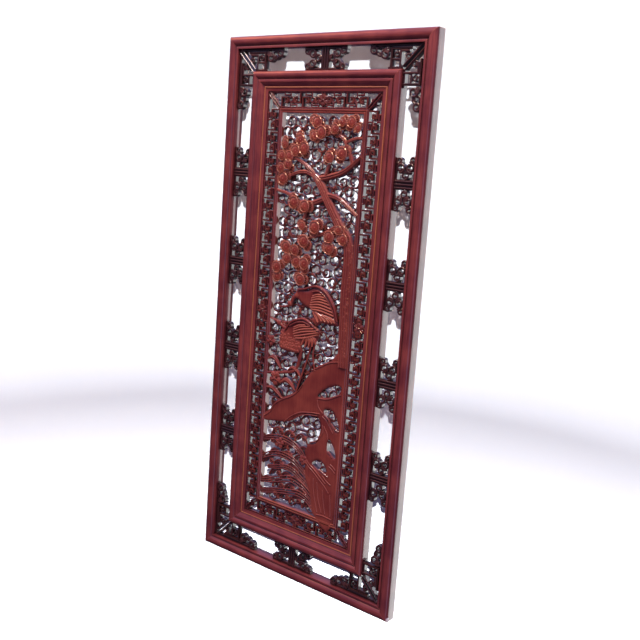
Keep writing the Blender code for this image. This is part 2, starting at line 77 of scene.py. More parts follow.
# Rosewood's vessels and clouds, and how far its grain shows through the lacquer
VESSEL_WIDTH = 2.0 * MM
VESSEL_LENGTH = 60 * MM
CLOUD_SIZE = 45 * MM
GRAIN_DEPTH = 0.12 * MM

# How far painted shade reaches out from a cut, how wide the arrises painted lighter as rubbed wear and
# highlight are, and how much they show
PAINTED_SHADE_REACH = 9 * MM
EDGE_WEAR_AND_HIGHLIGHT_REACH = 1.4 * MM
EDGE_WEAR_AND_HIGHLIGHT_SHARE = 0.5

# How much each part stands over the last, and after how many the lifts start again
PART_LIFT = 0.01 * MM
LIFT_STEPS = 16

# An edge that folds by more than the first is sharp, and a corner wider than the second isn't eased
SHARP_ANGLE = 38
BLUNT_ANGLE = 150

# Directions of travel and outwards, in (x, z), of each side of a frame
SIDE_RUN = {"top": (1, 0), "right": (0, -1), "bottom": (-1, 0), "left": (0, 1)}
SIDE_OUT = {"top": (0, 1), "right": (1, 0), "bottom": (0, -1), "left": (-1, 0)}


def linear(hex_colour):
    """sRGB hex to the linear colour that a socket takes."""
    values = [int(hex_colour[i:i + 2], 16) / 255 for i in (1, 3, 5)]
    return [v / 12.92 if v <= 0.04045 else ((v + 0.055) / 1.055) ** 2.4 for v in values] + [1.0]


def add_node(tree, kind, sockets=None, **settings):
    """Adds a node, sets its properties, and sets or links its input sockets."""
    node = tree.nodes.new(kind)
    for name, value in settings.items():
        setattr(node, name, value)
    for name, value in (sockets or {}).items():
        if isinstance(value, bpy.types.NodeSocket):
            tree.links.new(value, node.inputs[name])
        else:
            node.inputs[name].default_value = value
    return node


def laid_over(tree, colour, over, value, low, high, strength=1.0, blend="LINEAR"):
    """The colour with another laid over it as a value goes from low to high."""
    share = add_node(tree, "ShaderNodeMapRange", {
        "Value": value, "From Min": low, "From Max": high, "To Max": strength}, interpolation_type=blend)
    mixed = add_node(tree, "ShaderNodeMix", {
        0: share.outputs["Result"], 6: colour, 7: linear(over)}, data_type="RGBA")
    return mixed.outputs[2]


def lacquered_rosewood(name, body, streak, painted_shade, grain_along, relief=None, gloss=0.30,
                       figure=0.55, edge_wear_and_highlight="#B0685C", chip=None):
    """Rosewood under a red-brown gloss lacquer, with painted shade dark in its cuts.

    Its streaks are vessels, which are finer on real rosewood, and drawn this
    coarse so that they show from a step away. relief is the height of the ground
    and of the highest carving: low down the colour is painted darker and more purple as shade.
    figure is how strongly the grain shows. The darkest colour is painted shade in the cuts, the edge colour
    is arrises rubbed by handling and painted lighter as a highlight, and chip is where the lacquer is
    knocked off to bare pale wood."""
    material = bpy.data.materials.new(name)
    material.use_nodes = True
    tree = material.node_tree
    tree.nodes.clear()
    sources = add_node(tree, "ShaderNodeTexCoord")
    place = sources.outputs["Object"]
    stretch = [1 / (VESSEL_LENGTH if axis == grain_along else VESSEL_WIDTH) for axis in "xyz"]
    grain_place = add_node(tree, "ShaderNodeMapping", {"Vector": place, "Scale": stretch})
    grain = add_node(tree, "ShaderNodeTexNoise", {
        "Vector": grain_place.outputs["Vector"], "Scale": 1.0, "Detail": 3.0, "Distortion": 0.3})
    cloud = add_node(tree, "ShaderNodeTexNoise", {
        "Vector": place, "Scale": 1 / CLOUD_SIZE, "Detail": 2.0})
    grain_share = add_node(tree, "ShaderNodeMapRange", {
        "Value": grain.outputs[0], "From Min": 0.38, "From Max": 0.68})
    cloud_share = add_node(tree, "ShaderNodeMapRange", {
        "Value": cloud.outputs[0], "From Min": 0.35, "From Max": 0.70})
    streaks = add_node(tree, "ShaderNodeMath", {
        0: grain_share.outputs["Result"], 1: figure}, operation="MULTIPLY")
    tone = add_node(tree, "ShaderNodeMath", {
        0: cloud_share.outputs["Result"], 1: 0.55, 2: streaks.outputs["Value"]},
        operation="MULTIPLY_ADD", use_clamp=True)
    colour = add_node(tree, "ShaderNodeMix", {
        0: tone.outputs["Value"], 6: linear(body), 7: linear(streak)}, data_type="RGBA").outputs[2]
    # Painted shade: low down in the relief the colour turns to the dark shade colour
    if relief:
        ground, top = relief
        height = add_node(tree, "ShaderNodeSeparateXYZ", {"Vector": place}).outputs["Y"]
        colour = laid_over(tree, colour, painted_shade, height, -top, -ground, blend="SMOOTHSTEP")
        # The plain back takes the body colour, without the painted shade
        facing = add_node(tree, "ShaderNodeSeparateXYZ", {"Vector": sources.outputs["Normal"]})
        colour = laid_over(tree, colour, body, facing.outputs["Y"], 0.6, 0.9)
    # Painted shade: the colour darkens to the shade colour where ambient occlusion finds a cut or recess
    # nearby
    shade_occlusion = add_node(tree, "ShaderNodeAmbientOcclusion", {"Distance": PAINTED_SHADE_REACH}, samples=6)
    colour = laid_over(tree, colour, painted_shade, shade_occlusion.outputs["AO"], 0.95, 0.30)
    # Rubbed wear and painted highlight: convex arrises are coloured lighter, partly as worn lacquer and
    # partly standing in for the light they catch
    edge = add_node(tree, "ShaderNodeAmbientOcclusion", {"Distance": EDGE_WEAR_AND_HIGHLIGHT_REACH}, samples=6, inside=True)
    colour = laid_over(tree, colour, edge_wear_and_highlight, edge.outputs["AO"], 0.85, 0.45, EDGE_WEAR_AND_HIGHLIGHT_SHARE)
    if chip:
        away = add_node(tree, "ShaderNodeVectorMath", {0: place, 1: chip}, operation="DISTANCE")
        colour = laid_over(tree, colour, "#FFFAF0", away.outputs["Value"], CHIP_SIZE / 2, CHIP_SIZE / 3)
    dullness = add_node(tree, "ShaderNodeMapRange", {
        "Value": tone.outputs["Value"], "To Min": gloss + 0.10, "To Max": gloss})
    bump = add_node(tree, "ShaderNodeBump", {
        "Height": grain_share.outputs["Result"], "Strength": 0.25, "Distance": GRAIN_DEPTH})
    shader = add_node(tree, "ShaderNodeBsdfPrincipled", {
        "Base Color": colour, "Roughness": dullness.outputs["Result"],
        "IOR": 1.5, "Specular IOR Level": 0.25,
        "Coat Weight": 1.0, "Coat Roughness": 0.10, "Coat IOR": 1.5,
        "Normal": bump.outputs["Normal"]})
    add_node(tree, "ShaderNodeOutputMaterial", {"Surface": shader.outputs["BSDF"]})
    return material


def eased(profile, radius):
    """Rounds a profile's sharp corners past its first, as a hand-finished arris is."""
    result = []
    count = len(profile)
    for i, here in enumerate(profile):
        here = Vector(here)
        before = Vector(profile[i - 1]) - here
        after = Vector(profile[(i + 1) % count]) - here
        if i == 0 or before.angle(after) > math.radians(BLUNT_ANGLE):
            result.append(tuple(here))
            continue
        reach = min(radius, before.length * 0.4, after.length * 0.4)
        start, end = here + before.normalized() * reach, here + after.normalized() * reach
        for step in (0.0, 0.5, 1.0):
            result.append(tuple(start.lerp(here, step).lerp(here.lerp(end, step), step)))
    return result


def moulding(width, crest, steps=18):
    """The profile of both frames as far as the lip: a rounded front, a quirk and the lip."""
    quirk = width - LIP_WIDTH
    front = quirk - QUIRK_WIDTH
    profile = [(0.0, 0.0)]
    for i in range(steps + 1):
        angle = math.pi * i / steps
        across = front * (1 - math.cos(angle)) / 2
        height = CUSHION_LOW + (crest - CUSHION_LOW) * math.sin(angle)
        if across < front / 2 or height > QUIRK_FLOOR:
            profile.append((across, height))
    return profile + [(quirk, QUIRK_FLOOR), (quirk, LIP_HEIGHT), (width, LIP_HEIGHT)]


def mitred_length(side, reach, half_length, profile, gap=JOINT):
    """Vertices and faces of one side of a frame, cut at 45 degrees at both ends."""
    run, out = SIDE_RUN[side], SIDE_OUT[side]
    verts = []
    for end in (-1, 1):
        for across, height in profile:
            along = end * (half_length - across - gap)
            away = reach - across
            verts.append((run[0] * along + out[0] * away, -height,
                          MIDDLE_Z + run[1] * along + out[1] * away))
    count = len(profile)
    faces = [(i, (i + 1) % count, count + (i + 1) % count, count + i) for i in range(count)]
    faces += [tuple(range(count)), tuple(range(count, 2 * count))]
    return verts, faces


def side_size(node, side):
    """How far a side's outer edge lies from the panel's middle, and half its length."""
    low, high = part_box(node)
    if side in ("top", "bottom"):
        return max(high.z - MIDDLE_Z, MIDDLE_Z - low.z), (high.x - low.x) / 2
    return max(high.x, -low.x), (high.z - low.z) / 2


def wooden_piece(name, finishes, nodes):
    """One mesh object from the (vertices, faces) parts in each of its finishes.

    It stands for its CAD nodes. Each part is lifted by a hair over the last, so
    that the flat backs and crests of crossing parts don't lie in one plane."""
    verts = []
    faces = []
    finish_of_face = []
    for index, parts in enumerate(finishes.values()):
        for order, (part_verts, part_faces) in enumerate(parts):
            first = len(verts)
            lift = PART_LIFT * (order % LIFT_STEPS)
            verts += [(x, y - lift, z) for x, y, z in part_verts]
            faces += [tuple(first + i for i in face) for face in part_faces]
            finish_of_face += [index] * len(part_faces)
    mesh = bpy.data.meshes.new(name)
    mesh.from_pydata(verts, [], faces)
    mesh.polygons.foreach_set("material_index", finish_of_face)
    work = bmesh.new()
    work.from_mesh(mesh)
    bmesh.ops.recalc_face_normals(work, faces=work.faces)
    work.to_mesh(mesh)
    work.free()
    for material in finishes:
        mesh.materials.append(material)
    mesh.shade_smooth()
    mesh.set_sharp_from_angle(angle=math.radians(SHARP_ANGLE))
    piece = bpy.data.objects.new(name, mesh)
    bpy.context.scene.collection.objects.link(piece)
    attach(piece, "root")
    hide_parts(*nodes)
    return piece


# A small chip on the front arris, just above the bottom right corner
CHIP_SIZE = 10 * MM
# Each lacquer's darkest colour is painted shade for its cuts and recesses
FRAME_COLOURS = {"body": "#5E2832", "streak": "#8A4644", "painted_shade": "#2C1018",
                 "chip": (PANEL_HIGH.x - 1.5 * MM, -22.5 * MM, PANEL_LOW.z + 6 * MM)}
FRAME_ALONG = {
    "x": lacquered_rosewood("lacquered_rosewood_rails", grain_along="x", **FRAME_COLOURS),
    "z": lacquered_rosewood("lacquered_rosewood_stiles", grain_along="z", **FRAME_COLOURS),
}
GRAIN = {"top": "x", "bottom": "x", "left": "z", "right": "z"}
FRAME_NODES = {"top": "rail_top", "right": "stile_right", "bottom": "rail_bottom", "left": "stile_left"}

outer_profile = moulding(RAIL_WIDTH, CUSHION_CREST) + [(RAIL_WIDTH, 0.0)]
for side, label in FRAME_NODES.items():
    node = "outer_" + label
    part = mitred_length(side, *side_size(node, side), eased(outer_profile, 0.7 * MM))
    wooden_piece("moulded_" + node, {FRAME_ALONG[GRAIN[side]]: [part]}, [node])

# The inner frame
# The same moulding, slimmer, with a sloping liner inside it. The slope ends in
# a thin fillet and a flat band, which holds the fret border.

INNER_WIDTH = 23.5 * MM
INNER_CREST = 29.0 * MM
LINER_WIDTH = 20.0 * MM
LINER_HEIGHT = 19.0 * MM
FILLET_WIDTH = 2.2 * MM
FILLET_HEIGHT = 1.4 * MM

slope_end = INNER_WIDTH + LINER_WIDTH / 2
fillet_end = slope_end + FILLET_WIDTH
inner_profile = moulding(INNER_WIDTH, INNER_CREST) + [
    (slope_end, LINER_HEIGHT), (slope_end, LINER_HEIGHT + FILLET_HEIGHT),
    (fillet_end, LINER_HEIGHT + FILLET_HEIGHT), (fillet_end, LINER_HEIGHT),
    (INNER_WIDTH + LINER_WIDTH, LINER_HEIGHT), (INNER_WIDTH + LINER_WIDTH, 0.0),
]
# The fillet stands proud, and its lacquer is painted a lighter orange-brown as a highlight
FILLET_HIGHLIGHT_WOOD = lacquered_rosewood(
    "lacquered_rosewood_fillet_highlight", body="#7E4434", streak="#A8664A", painted_shade="#3A1A16", grain_along="z",
    edge_wear_and_highlight="#C07E5C")
fillet_crest = LINER_HEIGHT + FILLET_HEIGHT + 0.15 * MM
fillet_profile = [
    (slope_end - 0.1 * MM, LINER_HEIGHT - 1 * MM), (slope_end - 0.1 * MM, fillet_crest - 0.4 * MM),
    (slope_end + 0.5 * MM, fillet_crest), (fillet_end - 0.5 * MM, fillet_crest),
    (fillet_end + 0.1 * MM, fillet_crest - 0.4 * MM), (fillet_end + 0.1 * MM, LINER_HEIGHT - 1 * MM),
]
for side, label in FRAME_NODES.items():
    node = "inner_" + label
    size = side_size(node, side)
    part = mitred_length(side, *size, eased(inner_profile, 0.5 * MM))
    fillet = mitred_length(side, *size, fillet_profile)
    finishes = {FRAME_ALONG[GRAIN[side]]: [part], FILLET_HIGHLIGHT_WOOD: [fillet]}
    wooden_piece("moulded_" + node, finishes, [node])

# The corner brackets
# Pierced rosewood between the two frames. Twin ribs run across the mitre, and
# each arm is a key of square bars that ends in curled lobes.

FRET_BACK = 8.0 * MM
FRET_FRONT = 20.5 * MM
FRET_LOW = 18.3 * MM
BAR = 4.4 * MM

# Top of a bar in shares of half its width: across, and down from the crest
FLAT_BAR = [(-1.0, 0.05), (1.0, 0.05)]
SLIM_BAR = [(-1.0, 0.42), (-0.5, 0.03), (0.5, 0.03), (1.0, 0.42)]
ROUND_BAR = [(-1.0, 0.42), (-0.74, 0.12), (-0.3, 0.0), (0.3, 0.0), (0.74, 0.12), (1.0, 0.42)]
RIDGED_BAR = [(-1.0, 0.70), (-0.5, 0.16), (-0.18, 0.0), (0.18, 0.0), (0.5, 0.16), (1.0, 0.70)]
REEDED_BAR = [(-1.0, 0.35), (-0.82, 0.04), (-0.42, 0.0), (-0.16, 0.42), (0.16, 0.42),
              (0.42, 0.0), (0.82, 0.04), (1.0, 0.35)]
DOMED_BAR = [(-1.0, 0.40), (-0.85, 0.25), (-0.6, 0.10), (-0.3, 0.02), (0.0, 0.0),
             (0.3, 0.02), (0.6, 0.10), (0.85, 0.25), (1.0, 0.40)]


def swept(path, section, crest, back):
    """Vertices and faces of a bar along a path of (x, z, width), flat at its back."""
    points = np.array(path, float)
    place, half = points[:, :2], points[:, 2:] / 2
    steps = np.diff(place, axis=0)
    steps /= np.maximum(np.linalg.norm(steps, axis=1, keepdims=True), 1e-9)
    step_out = np.vstack([steps, steps[-1:]])
    along = np.vstack([steps[:1], steps]) + step_out
    along /= np.maximum(np.linalg.norm(along, axis=1, keepdims=True), 1e-9)
    mitre = 1 / np.maximum((along * step_out).sum(1, keepdims=True), 0.6)
    across = np.stack([-along[:, 1], along[:, 0]], 1) * mitre * half
    crest = np.broadcast_to(np.asarray(crest, float), (len(points),))
    shape = [(-1.0, None)] + list(section) + [(1.0, None)]
    rings = []
    for share, drop in shape:
        xz = place + across * share
        y = np.full(len(points), -back) if drop is None else -(crest - drop * half[:, 0])
        rings.append(np.stack([xz[:, 0], y, xz[:, 1]], 1))
    verts = np.stack(rings, 1).reshape(-1, 3)
    size = len(shape)
    last = (len(points) - 1) * size
    faces = []
    for a in range(0, last, size):
        b = a + size
        faces += [(a + j, a + (j + 1) % size, b + (j + 1) % size, b + j) for j in range(size)]
    faces += [tuple(range(size)), tuple(range(last, last + size))]
    return [tuple(v) for v in verts], faces


def curl(x, z, radius, start, turns, width, tighten=0.42, bud=1.5, steps=18):
    """Path of a scroll: it winds inwards from its start and ends in a round bud.

    Angles are in turns, and a negative number of turns winds clockwise."""
    path = []
    for i in range(steps + 1):
        share = i / steps
        angle = 2 * math.pi * (start + turns * share)
        reach = radius * (1 - (1 - tighten) * share ** 1.6)
        swell = 1 + (bud - 1) * max(0.0, share * 4 - 3)
        path.append((x + reach * math.cos(angle), z + reach * math.sin(angle), width * swell))
    return path


def dome(x, z, radius, crest, low, back, sides, rings):
    """Vertices and faces of a round boss that falls from its crest to its rim."""
    verts = [(x, -crest, z)]
    faces = []
    for step in range(1, rings + 1):
        share = step / rings
        height = low + (crest - low) * math.sqrt(1 - share * share)
        for i in range(sides):
            angle = 2 * math.pi * i / sides
            verts.append((x + radius * share * math.cos(angle), -height,
                          z + radius * share * math.sin(angle)))
    verts += [(vx, -back, vz) for vx, _, vz in verts[-sides:]]
    faces += [(0, 1 + i, 1 + (i + 1) % sides) for i in range(sides)]
    for step in range(rings):
        a, b = 1 + step * sides, 1 + (step + 1) * sides
        faces += [(a + i, b + i, b + (i + 1) % sides, a + (i + 1) % sides) for i in range(sides)]
    faces.append(tuple(range(1 + rings * sides, 1 + (rings + 1) * sides)))
    return verts, faces


def moved(path, change):
    """The path with each point's place changed and its width kept."""
    return [(*change(point[0], point[1]), *point[2:]) for point in path]


FRET_WOOD = lacquered_rosewood(
    "lacquered_rosewood_fret", body="#2E1A1E", streak="#482725", painted_shade="#100A0C", grain_along="x",
    relief=(FRET_BACK, FRET_FRONT), gloss=0.28, edge_wear_and_highlight="#64403E")

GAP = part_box("outer_rail_top")[0].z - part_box("inner_rail_top")[1].z
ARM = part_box("corner_bracket_top_left")[1].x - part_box("corner_bracket_top_left")[0].x


def bracket_bars():
    """Paths of one bracket: its outer corner at the origin, arms along +X and -Z."""
    bars = []
    for offset in (-3.2 * MM, 3.2 * MM):
        rib = [(4 * MM + offset, -4 * MM + offset, 4 * MM),
               (GAP - 2 * MM + offset, 2 * MM - GAP + offset, 4 * MM)]
        bars.append((rib, RIDGED_BAR, FRET_FRONT))
    arm = [
        ([(2 * MM, -2.6 * MM, 5 * MM), (ARM - 1 * MM, -2.6 * MM, 5 * MM)], ROUND_BAR, FRET_LOW),
        ([(30 * MM, -8.5 * MM, BAR), (79 * MM, -8.5 * MM, BAR), (79 * MM, 1.5 * MM - GAP, BAR)],
         REEDED_BAR, FRET_FRONT),
        ([(36 * MM, -14 * MM, BAR), (57 * MM, -14 * MM, BAR), (57 * MM, 1.5 * MM - GAP, BAR)],
         ROUND_BAR, FRET_FRONT),
        ([(57 * MM, -30 * MM, BAR), (79 * MM, -30 * MM, BAR)], ROUND_BAR, FRET_LOW),
        ([(50 * MM, 2.6 * MM - GAP, 4.6 * MM), (86 * MM, 2.6 * MM - GAP, 4.6 * MM)], ROUND_BAR, FRET_LOW),
    ]
    for x, z, radius, start, turns, width, crest in (
            (68, -20, 6, 0.25, 1.1, 3.2 * MM, FRET_LOW), (94, -20, 9.5, 0.42, -1.3, BAR, FRET_FRONT),
            (108, -13.5, 9.5, 0.60, 1.3, BAR, FRET_LOW), (122, -10.5, 8.6, 0.30, -1.3, BAR, FRET_FRONT),
            (90, -11, 5.5, 0.30, 1.1, 3.2 * MM, FRET_FRONT), (40, -24, 6.5, 0.15, 1.2, 3.4 * MM, FRET_LOW)):
        arm.append((curl(x * MM, z * MM, radius * MM, start, turns, width), ROUND_BAR, crest))
    for path, section, crest in arm:
        bars.append((path, section, crest))
        bars.append((moved(path, lambda x, z: (-z, -x)), section, crest))
    return bars


for quarter, corner in enumerate(("top_left", "top_right", "bottom_right", "bottom_left")):
    node = "corner_bracket_" + corner
    low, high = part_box(node)
    corner_x = low.x if "left" in corner else high.x
    corner_z = high.z if "top" in corner else low.z

    def in_corner(x, z):
        for _ in range(quarter):
            x, z = z, -x
        return corner_x + x, corner_z + z

    parts = [swept(moved(path, in_corner), section, crest, FRET_BACK)
             for path, section, crest in bracket_bars()]
    wooden_piece("pierced_" + node, {FRET_WOOD: parts}, [node])

# The spacers
# Ten small pierced blocks between the frames. Three ribs cross each one at its
# middle, and curled lobes spread out along both frames.


def side_place(side, reach):
    """Turns (along, across) on one side of a frame into the panel's (x, z)."""
    run, out = SIDE_RUN[side], SIDE_OUT[side]

    def change(along, across):
        away = reach - across
        return run[0] * along + out[0] * away, MIDDLE_Z + run[1] * along + out[1] * away

    return change


def spacer_bars():
    """Paths of one spacer: along the frame, and across from the outer one."""
    bars = [
        ([(-57 * MM, 3.2 * MM, 6 * MM), (57 * MM, 3.2 * MM, 6 * MM)], ROUND_BAR, FRET_LOW),
        ([(-53 * MM, GAP - 2.8 * MM, 5 * MM), (53 * MM, GAP - 2.8 * MM, 5 * MM)], ROUND_BAR, FRET_LOW),
        ([(0.0, 1.5 * MM, 21 * MM), (0.0, GAP - 1.5 * MM, 21 * MM)], FLAT_BAR, FRET_LOW),
    ]
    for along in (-6.6 * MM, 0.0, 6.6 * MM):
        rib = [(along, 1.5 * MM, 3.8 * MM), (along, GAP - 1.5 * MM, 3.8 * MM)]
        bars.append((rib, ROUND_BAR, FRET_FRONT))
    for way in (-1, 1):
        lobes = [
            (49, 9.5, 7.0, 0.30, 1.25), (33, 13.0, 9.0, 0.55, -1.3), (18.5, 24.5, 7.6, 0.50, 1.2),
            (33, 36.0, 9.0, 0.45, 1.3), (47, 40.0, 6.6, 0.70, -1.25),
        ]
        for i, (along, across, radius, start, turns) in enumerate(lobes):
            start = start if way > 0 else 0.5 - start
            path = curl(way * along * MM, across * MM, radius * MM, start, way * turns, 4.2 * MM)
            bars.append((path, ROUND_BAR, FRET_FRONT if i % 2 else FRET_LOW + 1 * MM))
    return bars


def near(node, side):
    """Where along its side a spacer's middle lies."""
    low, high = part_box(node)
    run = SIDE_RUN[side]
    return (low.x + high.x) / 2 * run[0] + ((low.z + high.z) / 2 - MIDDLE_Z) * run[1]


spacers = [("spacer_top", "top"), ("spacer_bottom", "bottom")]
for i in range(4):
    spacers += [(f"spacer_left_{i + 1}", "left"), (f"spacer_right_{i + 1}", "right")]
for node, side in spacers:
    reach = side_size(node, side)[0]
    shift = near(node, side)
    place = side_place(side, reach)
    parts = []
    for path, section, crest in spacer_bars():
        parts.append(swept(moved(path, lambda a, c: place(a + shift, c)), section, crest, FRET_BACK))
    wooden_piece("pierced_" + node, {FRET_WOOD: parts}, [node])

# The fret border
# Four mitred strips of square key fret with curled fillings, between two plain
# bars. A flower is carved at the middle of each strip.

BORDER_BACK = 6.0 * MM
BORDER_FRONT = 17.0 * MM
BORDER_BAR = 3.4 * MM
KEY_LENGTH = 52 * MM
BORDER_WOOD = lacquered_rosewood(
    "lacquered_rosewood_border", body="#42171F", streak="#6E2E2C", painted_shade="#140A0E", grain_along="z",
    relief=(BORDER_BACK + 4 * MM, BORDER_FRONT), gloss=0.28, edge_wear_and_highlight="#84483E")


def key_unit(width):
    """Paths of one repeat of the border, as (share along, across, width)."""
    bar = 3.2 * MM
    return [
        ([(0.06, 1.5 * MM, bar), (0.06, 0.66 * width, bar), (0.34, 0.66 * width, bar),
          (0.34, 0.34 * width, bar), (0.19, 0.34 * width, bar)], REEDED_BAR),
        ([(0.94, width - 1.5 * MM, bar), (0.94, 0.34 * width, bar), (0.66, 0.34 * width, bar),
          (0.66, 0.66 * width, bar), (0.81, 0.66 * width, bar)], REEDED_BAR),
        ([(0.50, 1.5 * MM, bar), (0.50, 0.30 * width, bar)], ROUND_BAR),
        ([(0.50, width - 1.5 * MM, bar), (0.50, 0.70 * width, bar)], ROUND_BAR),
        ([(0.20, width - 1.5 * MM, bar), (0.20, 0.80 * width, bar), (0.44, 0.80 * width, bar)], ROUND_BAR),
        ([(0.80, 1.5 * MM, bar), (0.80, 0.20 * width, bar), (0.56, 0.20 * width, bar)], ROUND_BAR),
    ]


def flower(x, z, radius, crest, back, petals, turn):
    """A flat open flower: domed petals round a raised button."""
    parts = []
    for i in range(petals):
        angle = 2 * math.pi * (i / petals + turn)
        way_x, way_z = radius * math.cos(angle), radius * math.sin(angle)
        parts.append(dome(x + way_x * 0.58, z + way_z * 0.58, radius * 0.44, crest,
                          crest - radius * 0.16, back, 14, 3))
        vein = [(x + way_x * share, z + way_z * share, radius * width)
                for share, width in ((0.2, 0.10), (0.95, 0.05))]
        parts.append(swept(vein, ROUND_BAR, crest + radius * 0.05, crest - radius * 0.2))
    parts.append(dome(x, z, radius * 0.26, crest + radius * 0.14, crest, back, 12, 3))
    return parts


def bead(start, width, ease, back, front, drop):
    """Profile of a flat bead, with its two front arrises taken off."""
    end = start + width
    return [(start, back), (start, front - drop), (start + ease, front), (end - ease, front),
            (end, front - drop), (end, back)]


for side in SIDE_RUN:
    node = "border_fret_" + side
    reach, half_length = side_size(node, side)
    low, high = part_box(node)
    width = high.z - low.z if side in ("top", "bottom") else high.x - low.x
    place = side_place(side, reach)
    parts = []
    for start in (0.0, width - BORDER_BAR):
        edge = bead(start, BORDER_BAR, 0.8 * MM, BORDER_BACK, BORDER_FRONT, 0.8 * MM)
        parts.append(mitred_length(side, reach, half_length, edge))
    inner_half = half_length - width
    keys = max(1, round(inner_half / KEY_LENGTH))
    pitch = inner_half / keys
    for way in (-1, 1):
        for key in range(keys):
            for path, section in key_unit(width):
                run = [(way * (key + u) * pitch, v, w) for u, v, w in path]
                parts.append(swept(moved(run, place), section, BORDER_FRONT, BORDER_BACK))
            for u, radius, turns in ((0.50, 7.2, 1.3), (0.27, 4.6, -1.1), (0.73, 4.6, 1.1)):
                path = curl(way * (key + u) * pitch, width / 2, radius * MM, 0.25, way * turns,
                            2.8 * MM, steps=14)
                parts.append(swept(moved(path, place), ROUND_BAR, BORDER_FRONT - 1 * MM, BORDER_BACK))
        for u, v, turns in ((0.30, 0.62, 1.2), (0.62, 0.30, -1.2)):
            path = curl(way * (inner_half + width * (1 - v)), width * (1 - u) - 5 * MM, 5.2 * MM,
                        0.4, way * turns, 3.0 * MM, steps=14)
            parts.append(swept(moved(path, place), ROUND_BAR, BORDER_FRONT - 1 * MM, BORDER_BACK))
        offset = 3.8 * MM
        mitre = [(way * (half_length - 3 * MM - offset), 3 * MM, 3 * MM),
                 (way * (inner_half + 3 * MM - offset), width - 3 * MM, 3 * MM)]
        parts.append(swept(moved(mitre, place), RIDGED_BAR, BORDER_FRONT + 1.6 * MM, BORDER_BACK))
    x, z = place(0.0, width / 2)
    parts += flower(x, z, width * 0.40, BORDER_FRONT + 0.4 * MM, BORDER_BACK, 6, 0.08)
    wooden_piece("key_" + node, {BORDER_WOOD: parts}, [node])

# The ground of the carving
# One pierced board of rosewood fills the middle. Its rim is a twin bead, and its
# ground is a net of curled stems, cut lower than the figures.

CARVING_BACK = 4.5 * MM
CARVING_FRONT = 24.5 * MM
GROUND_FRONT = 14.5 * MM
RIM_FRONT = 18.5 * MM
RIM_WIDTH = 9.0 * MM
SHEET_WIDTH = 220
SHEET_HEIGHT = 890
# The carving stops a millimetre short of the rim
EDGE_X = SHEET_WIDTH / 2 - 1
EDGE_Z = SHEET_HEIGHT / 2 - 1
carving_low, carving_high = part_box("carved_panel")
UNIT = (carving_high.x - carving_low.x - 2 * RIM_WIDTH) / SHEET_WIDTH
RISE = (carving_high.z - carving_low.z - 2 * RIM_WIDTH) / SHEET_HEIGHT
CARVING_WOOD = lacquered_rosewood(
    "lacquered_rosewood_carving", body="#6E2E2E", streak="#9A5044", painted_shade="#1C0C11", grain_along="z",
    relief=(9 * MM, 21 * MM), gloss=0.26, figure=0.25, edge_wear_and_highlight="#A85C4C")


def on_sheet(x, z):
    """A drawn place, in millimetres from the sheet's middle, set on the panel."""
    return x * UNIT, MIDDLE_Z + z * RISE


def stroke(path, section, crest, back):
    """A bar along a path of (x, z, width) that is drawn on the sheet."""
    return swept([(*on_sheet(x, z), width * UNIT) for x, z, width in path], section, crest, back)


def boss(x, z, radius, *shape):
    """A dome at a place that is drawn on the sheet."""
    return dome(*on_sheet(x, z), radius * UNIT, *shape)


def level(share):
    """Height of the wood, from the ground up to the front."""
    return GROUND_FRONT + (CARVING_FRONT - GROUND_FRONT) * share


def between(a, b, c, d, t):
    """A point of the smooth curve from b to c, where a and d come before and after."""
    return tuple(0.5 * (2 * b + (c - a) * t + (2 * a - 5 * b + 4 * c - d) * t * t
                        + (3 * b - a - 3 * c + d) * t * t * t))


def flowing(path, steps=7):
    """A smooth path through given points of (x, z, width)."""
    points = [Vector(point) for point in path]
    points = [points[0] * 2 - points[1], *points, points[-1] * 2 - points[-2]]
    result = [between(*four, i / steps) for four in zip(points, points[1:], points[2:], points[3:])
              for i in range(steps)]
    return result + [tuple(points[-2])]


# The twin bead stands on a bed that closes the groove between its two halves
rim = [bead(start, RIM_WIDTH * 0.44, RIM_WIDTH * 0.11, CARVING_BACK, RIM_FRONT, 1.2 * MM)
       for start in (0.0, RIM_WIDTH * 0.56)]
rim.append([(0.5 * MM, CARVING_BACK), (0.5 * MM, RIM_FRONT - 2 * MM),
            (RIM_WIDTH - 0.5 * MM, RIM_FRONT - 2 * MM), (RIM_WIDTH - 0.5 * MM, CARVING_BACK)])
carving = [mitred_length(side, *side_size("carved_panel", side), profile, 0.0)
           for profile in rim for side in SIDE_RUN]

NET_PITCH = 28.0
NET_RISE = 24.5
NET_BACK = 6.0 * MM
WATER_TOP = -258
OPENWORK_SEED = 4
dice = random.Random(OPENWORK_SEED)
scrolls = []
rows = round((SHEET_HEIGHT - 16) / NET_RISE)
for row in range(rows):
    count = 7 if row % 2 else 8
    for column in range(count):
        x = (column - (count - 1) / 2) * NET_PITCH + dice.uniform(-3.6, 3.6)
        z = (row - (rows - 1) / 2) * NET_RISE + dice.uniform(-3.2, 3.2)
        size = dice.uniform(10.0, 14.2)
        if z < WATER_TOP and dice.random() < 0.8:
            continue
        limit_x, limit_z = SHEET_WIDTH / 2 - size, SHEET_HEIGHT / 2 - size
        scrolls.append((min(max(x, -limit_x), limit_x), min(max(z, -limit_z), limit_z), size))


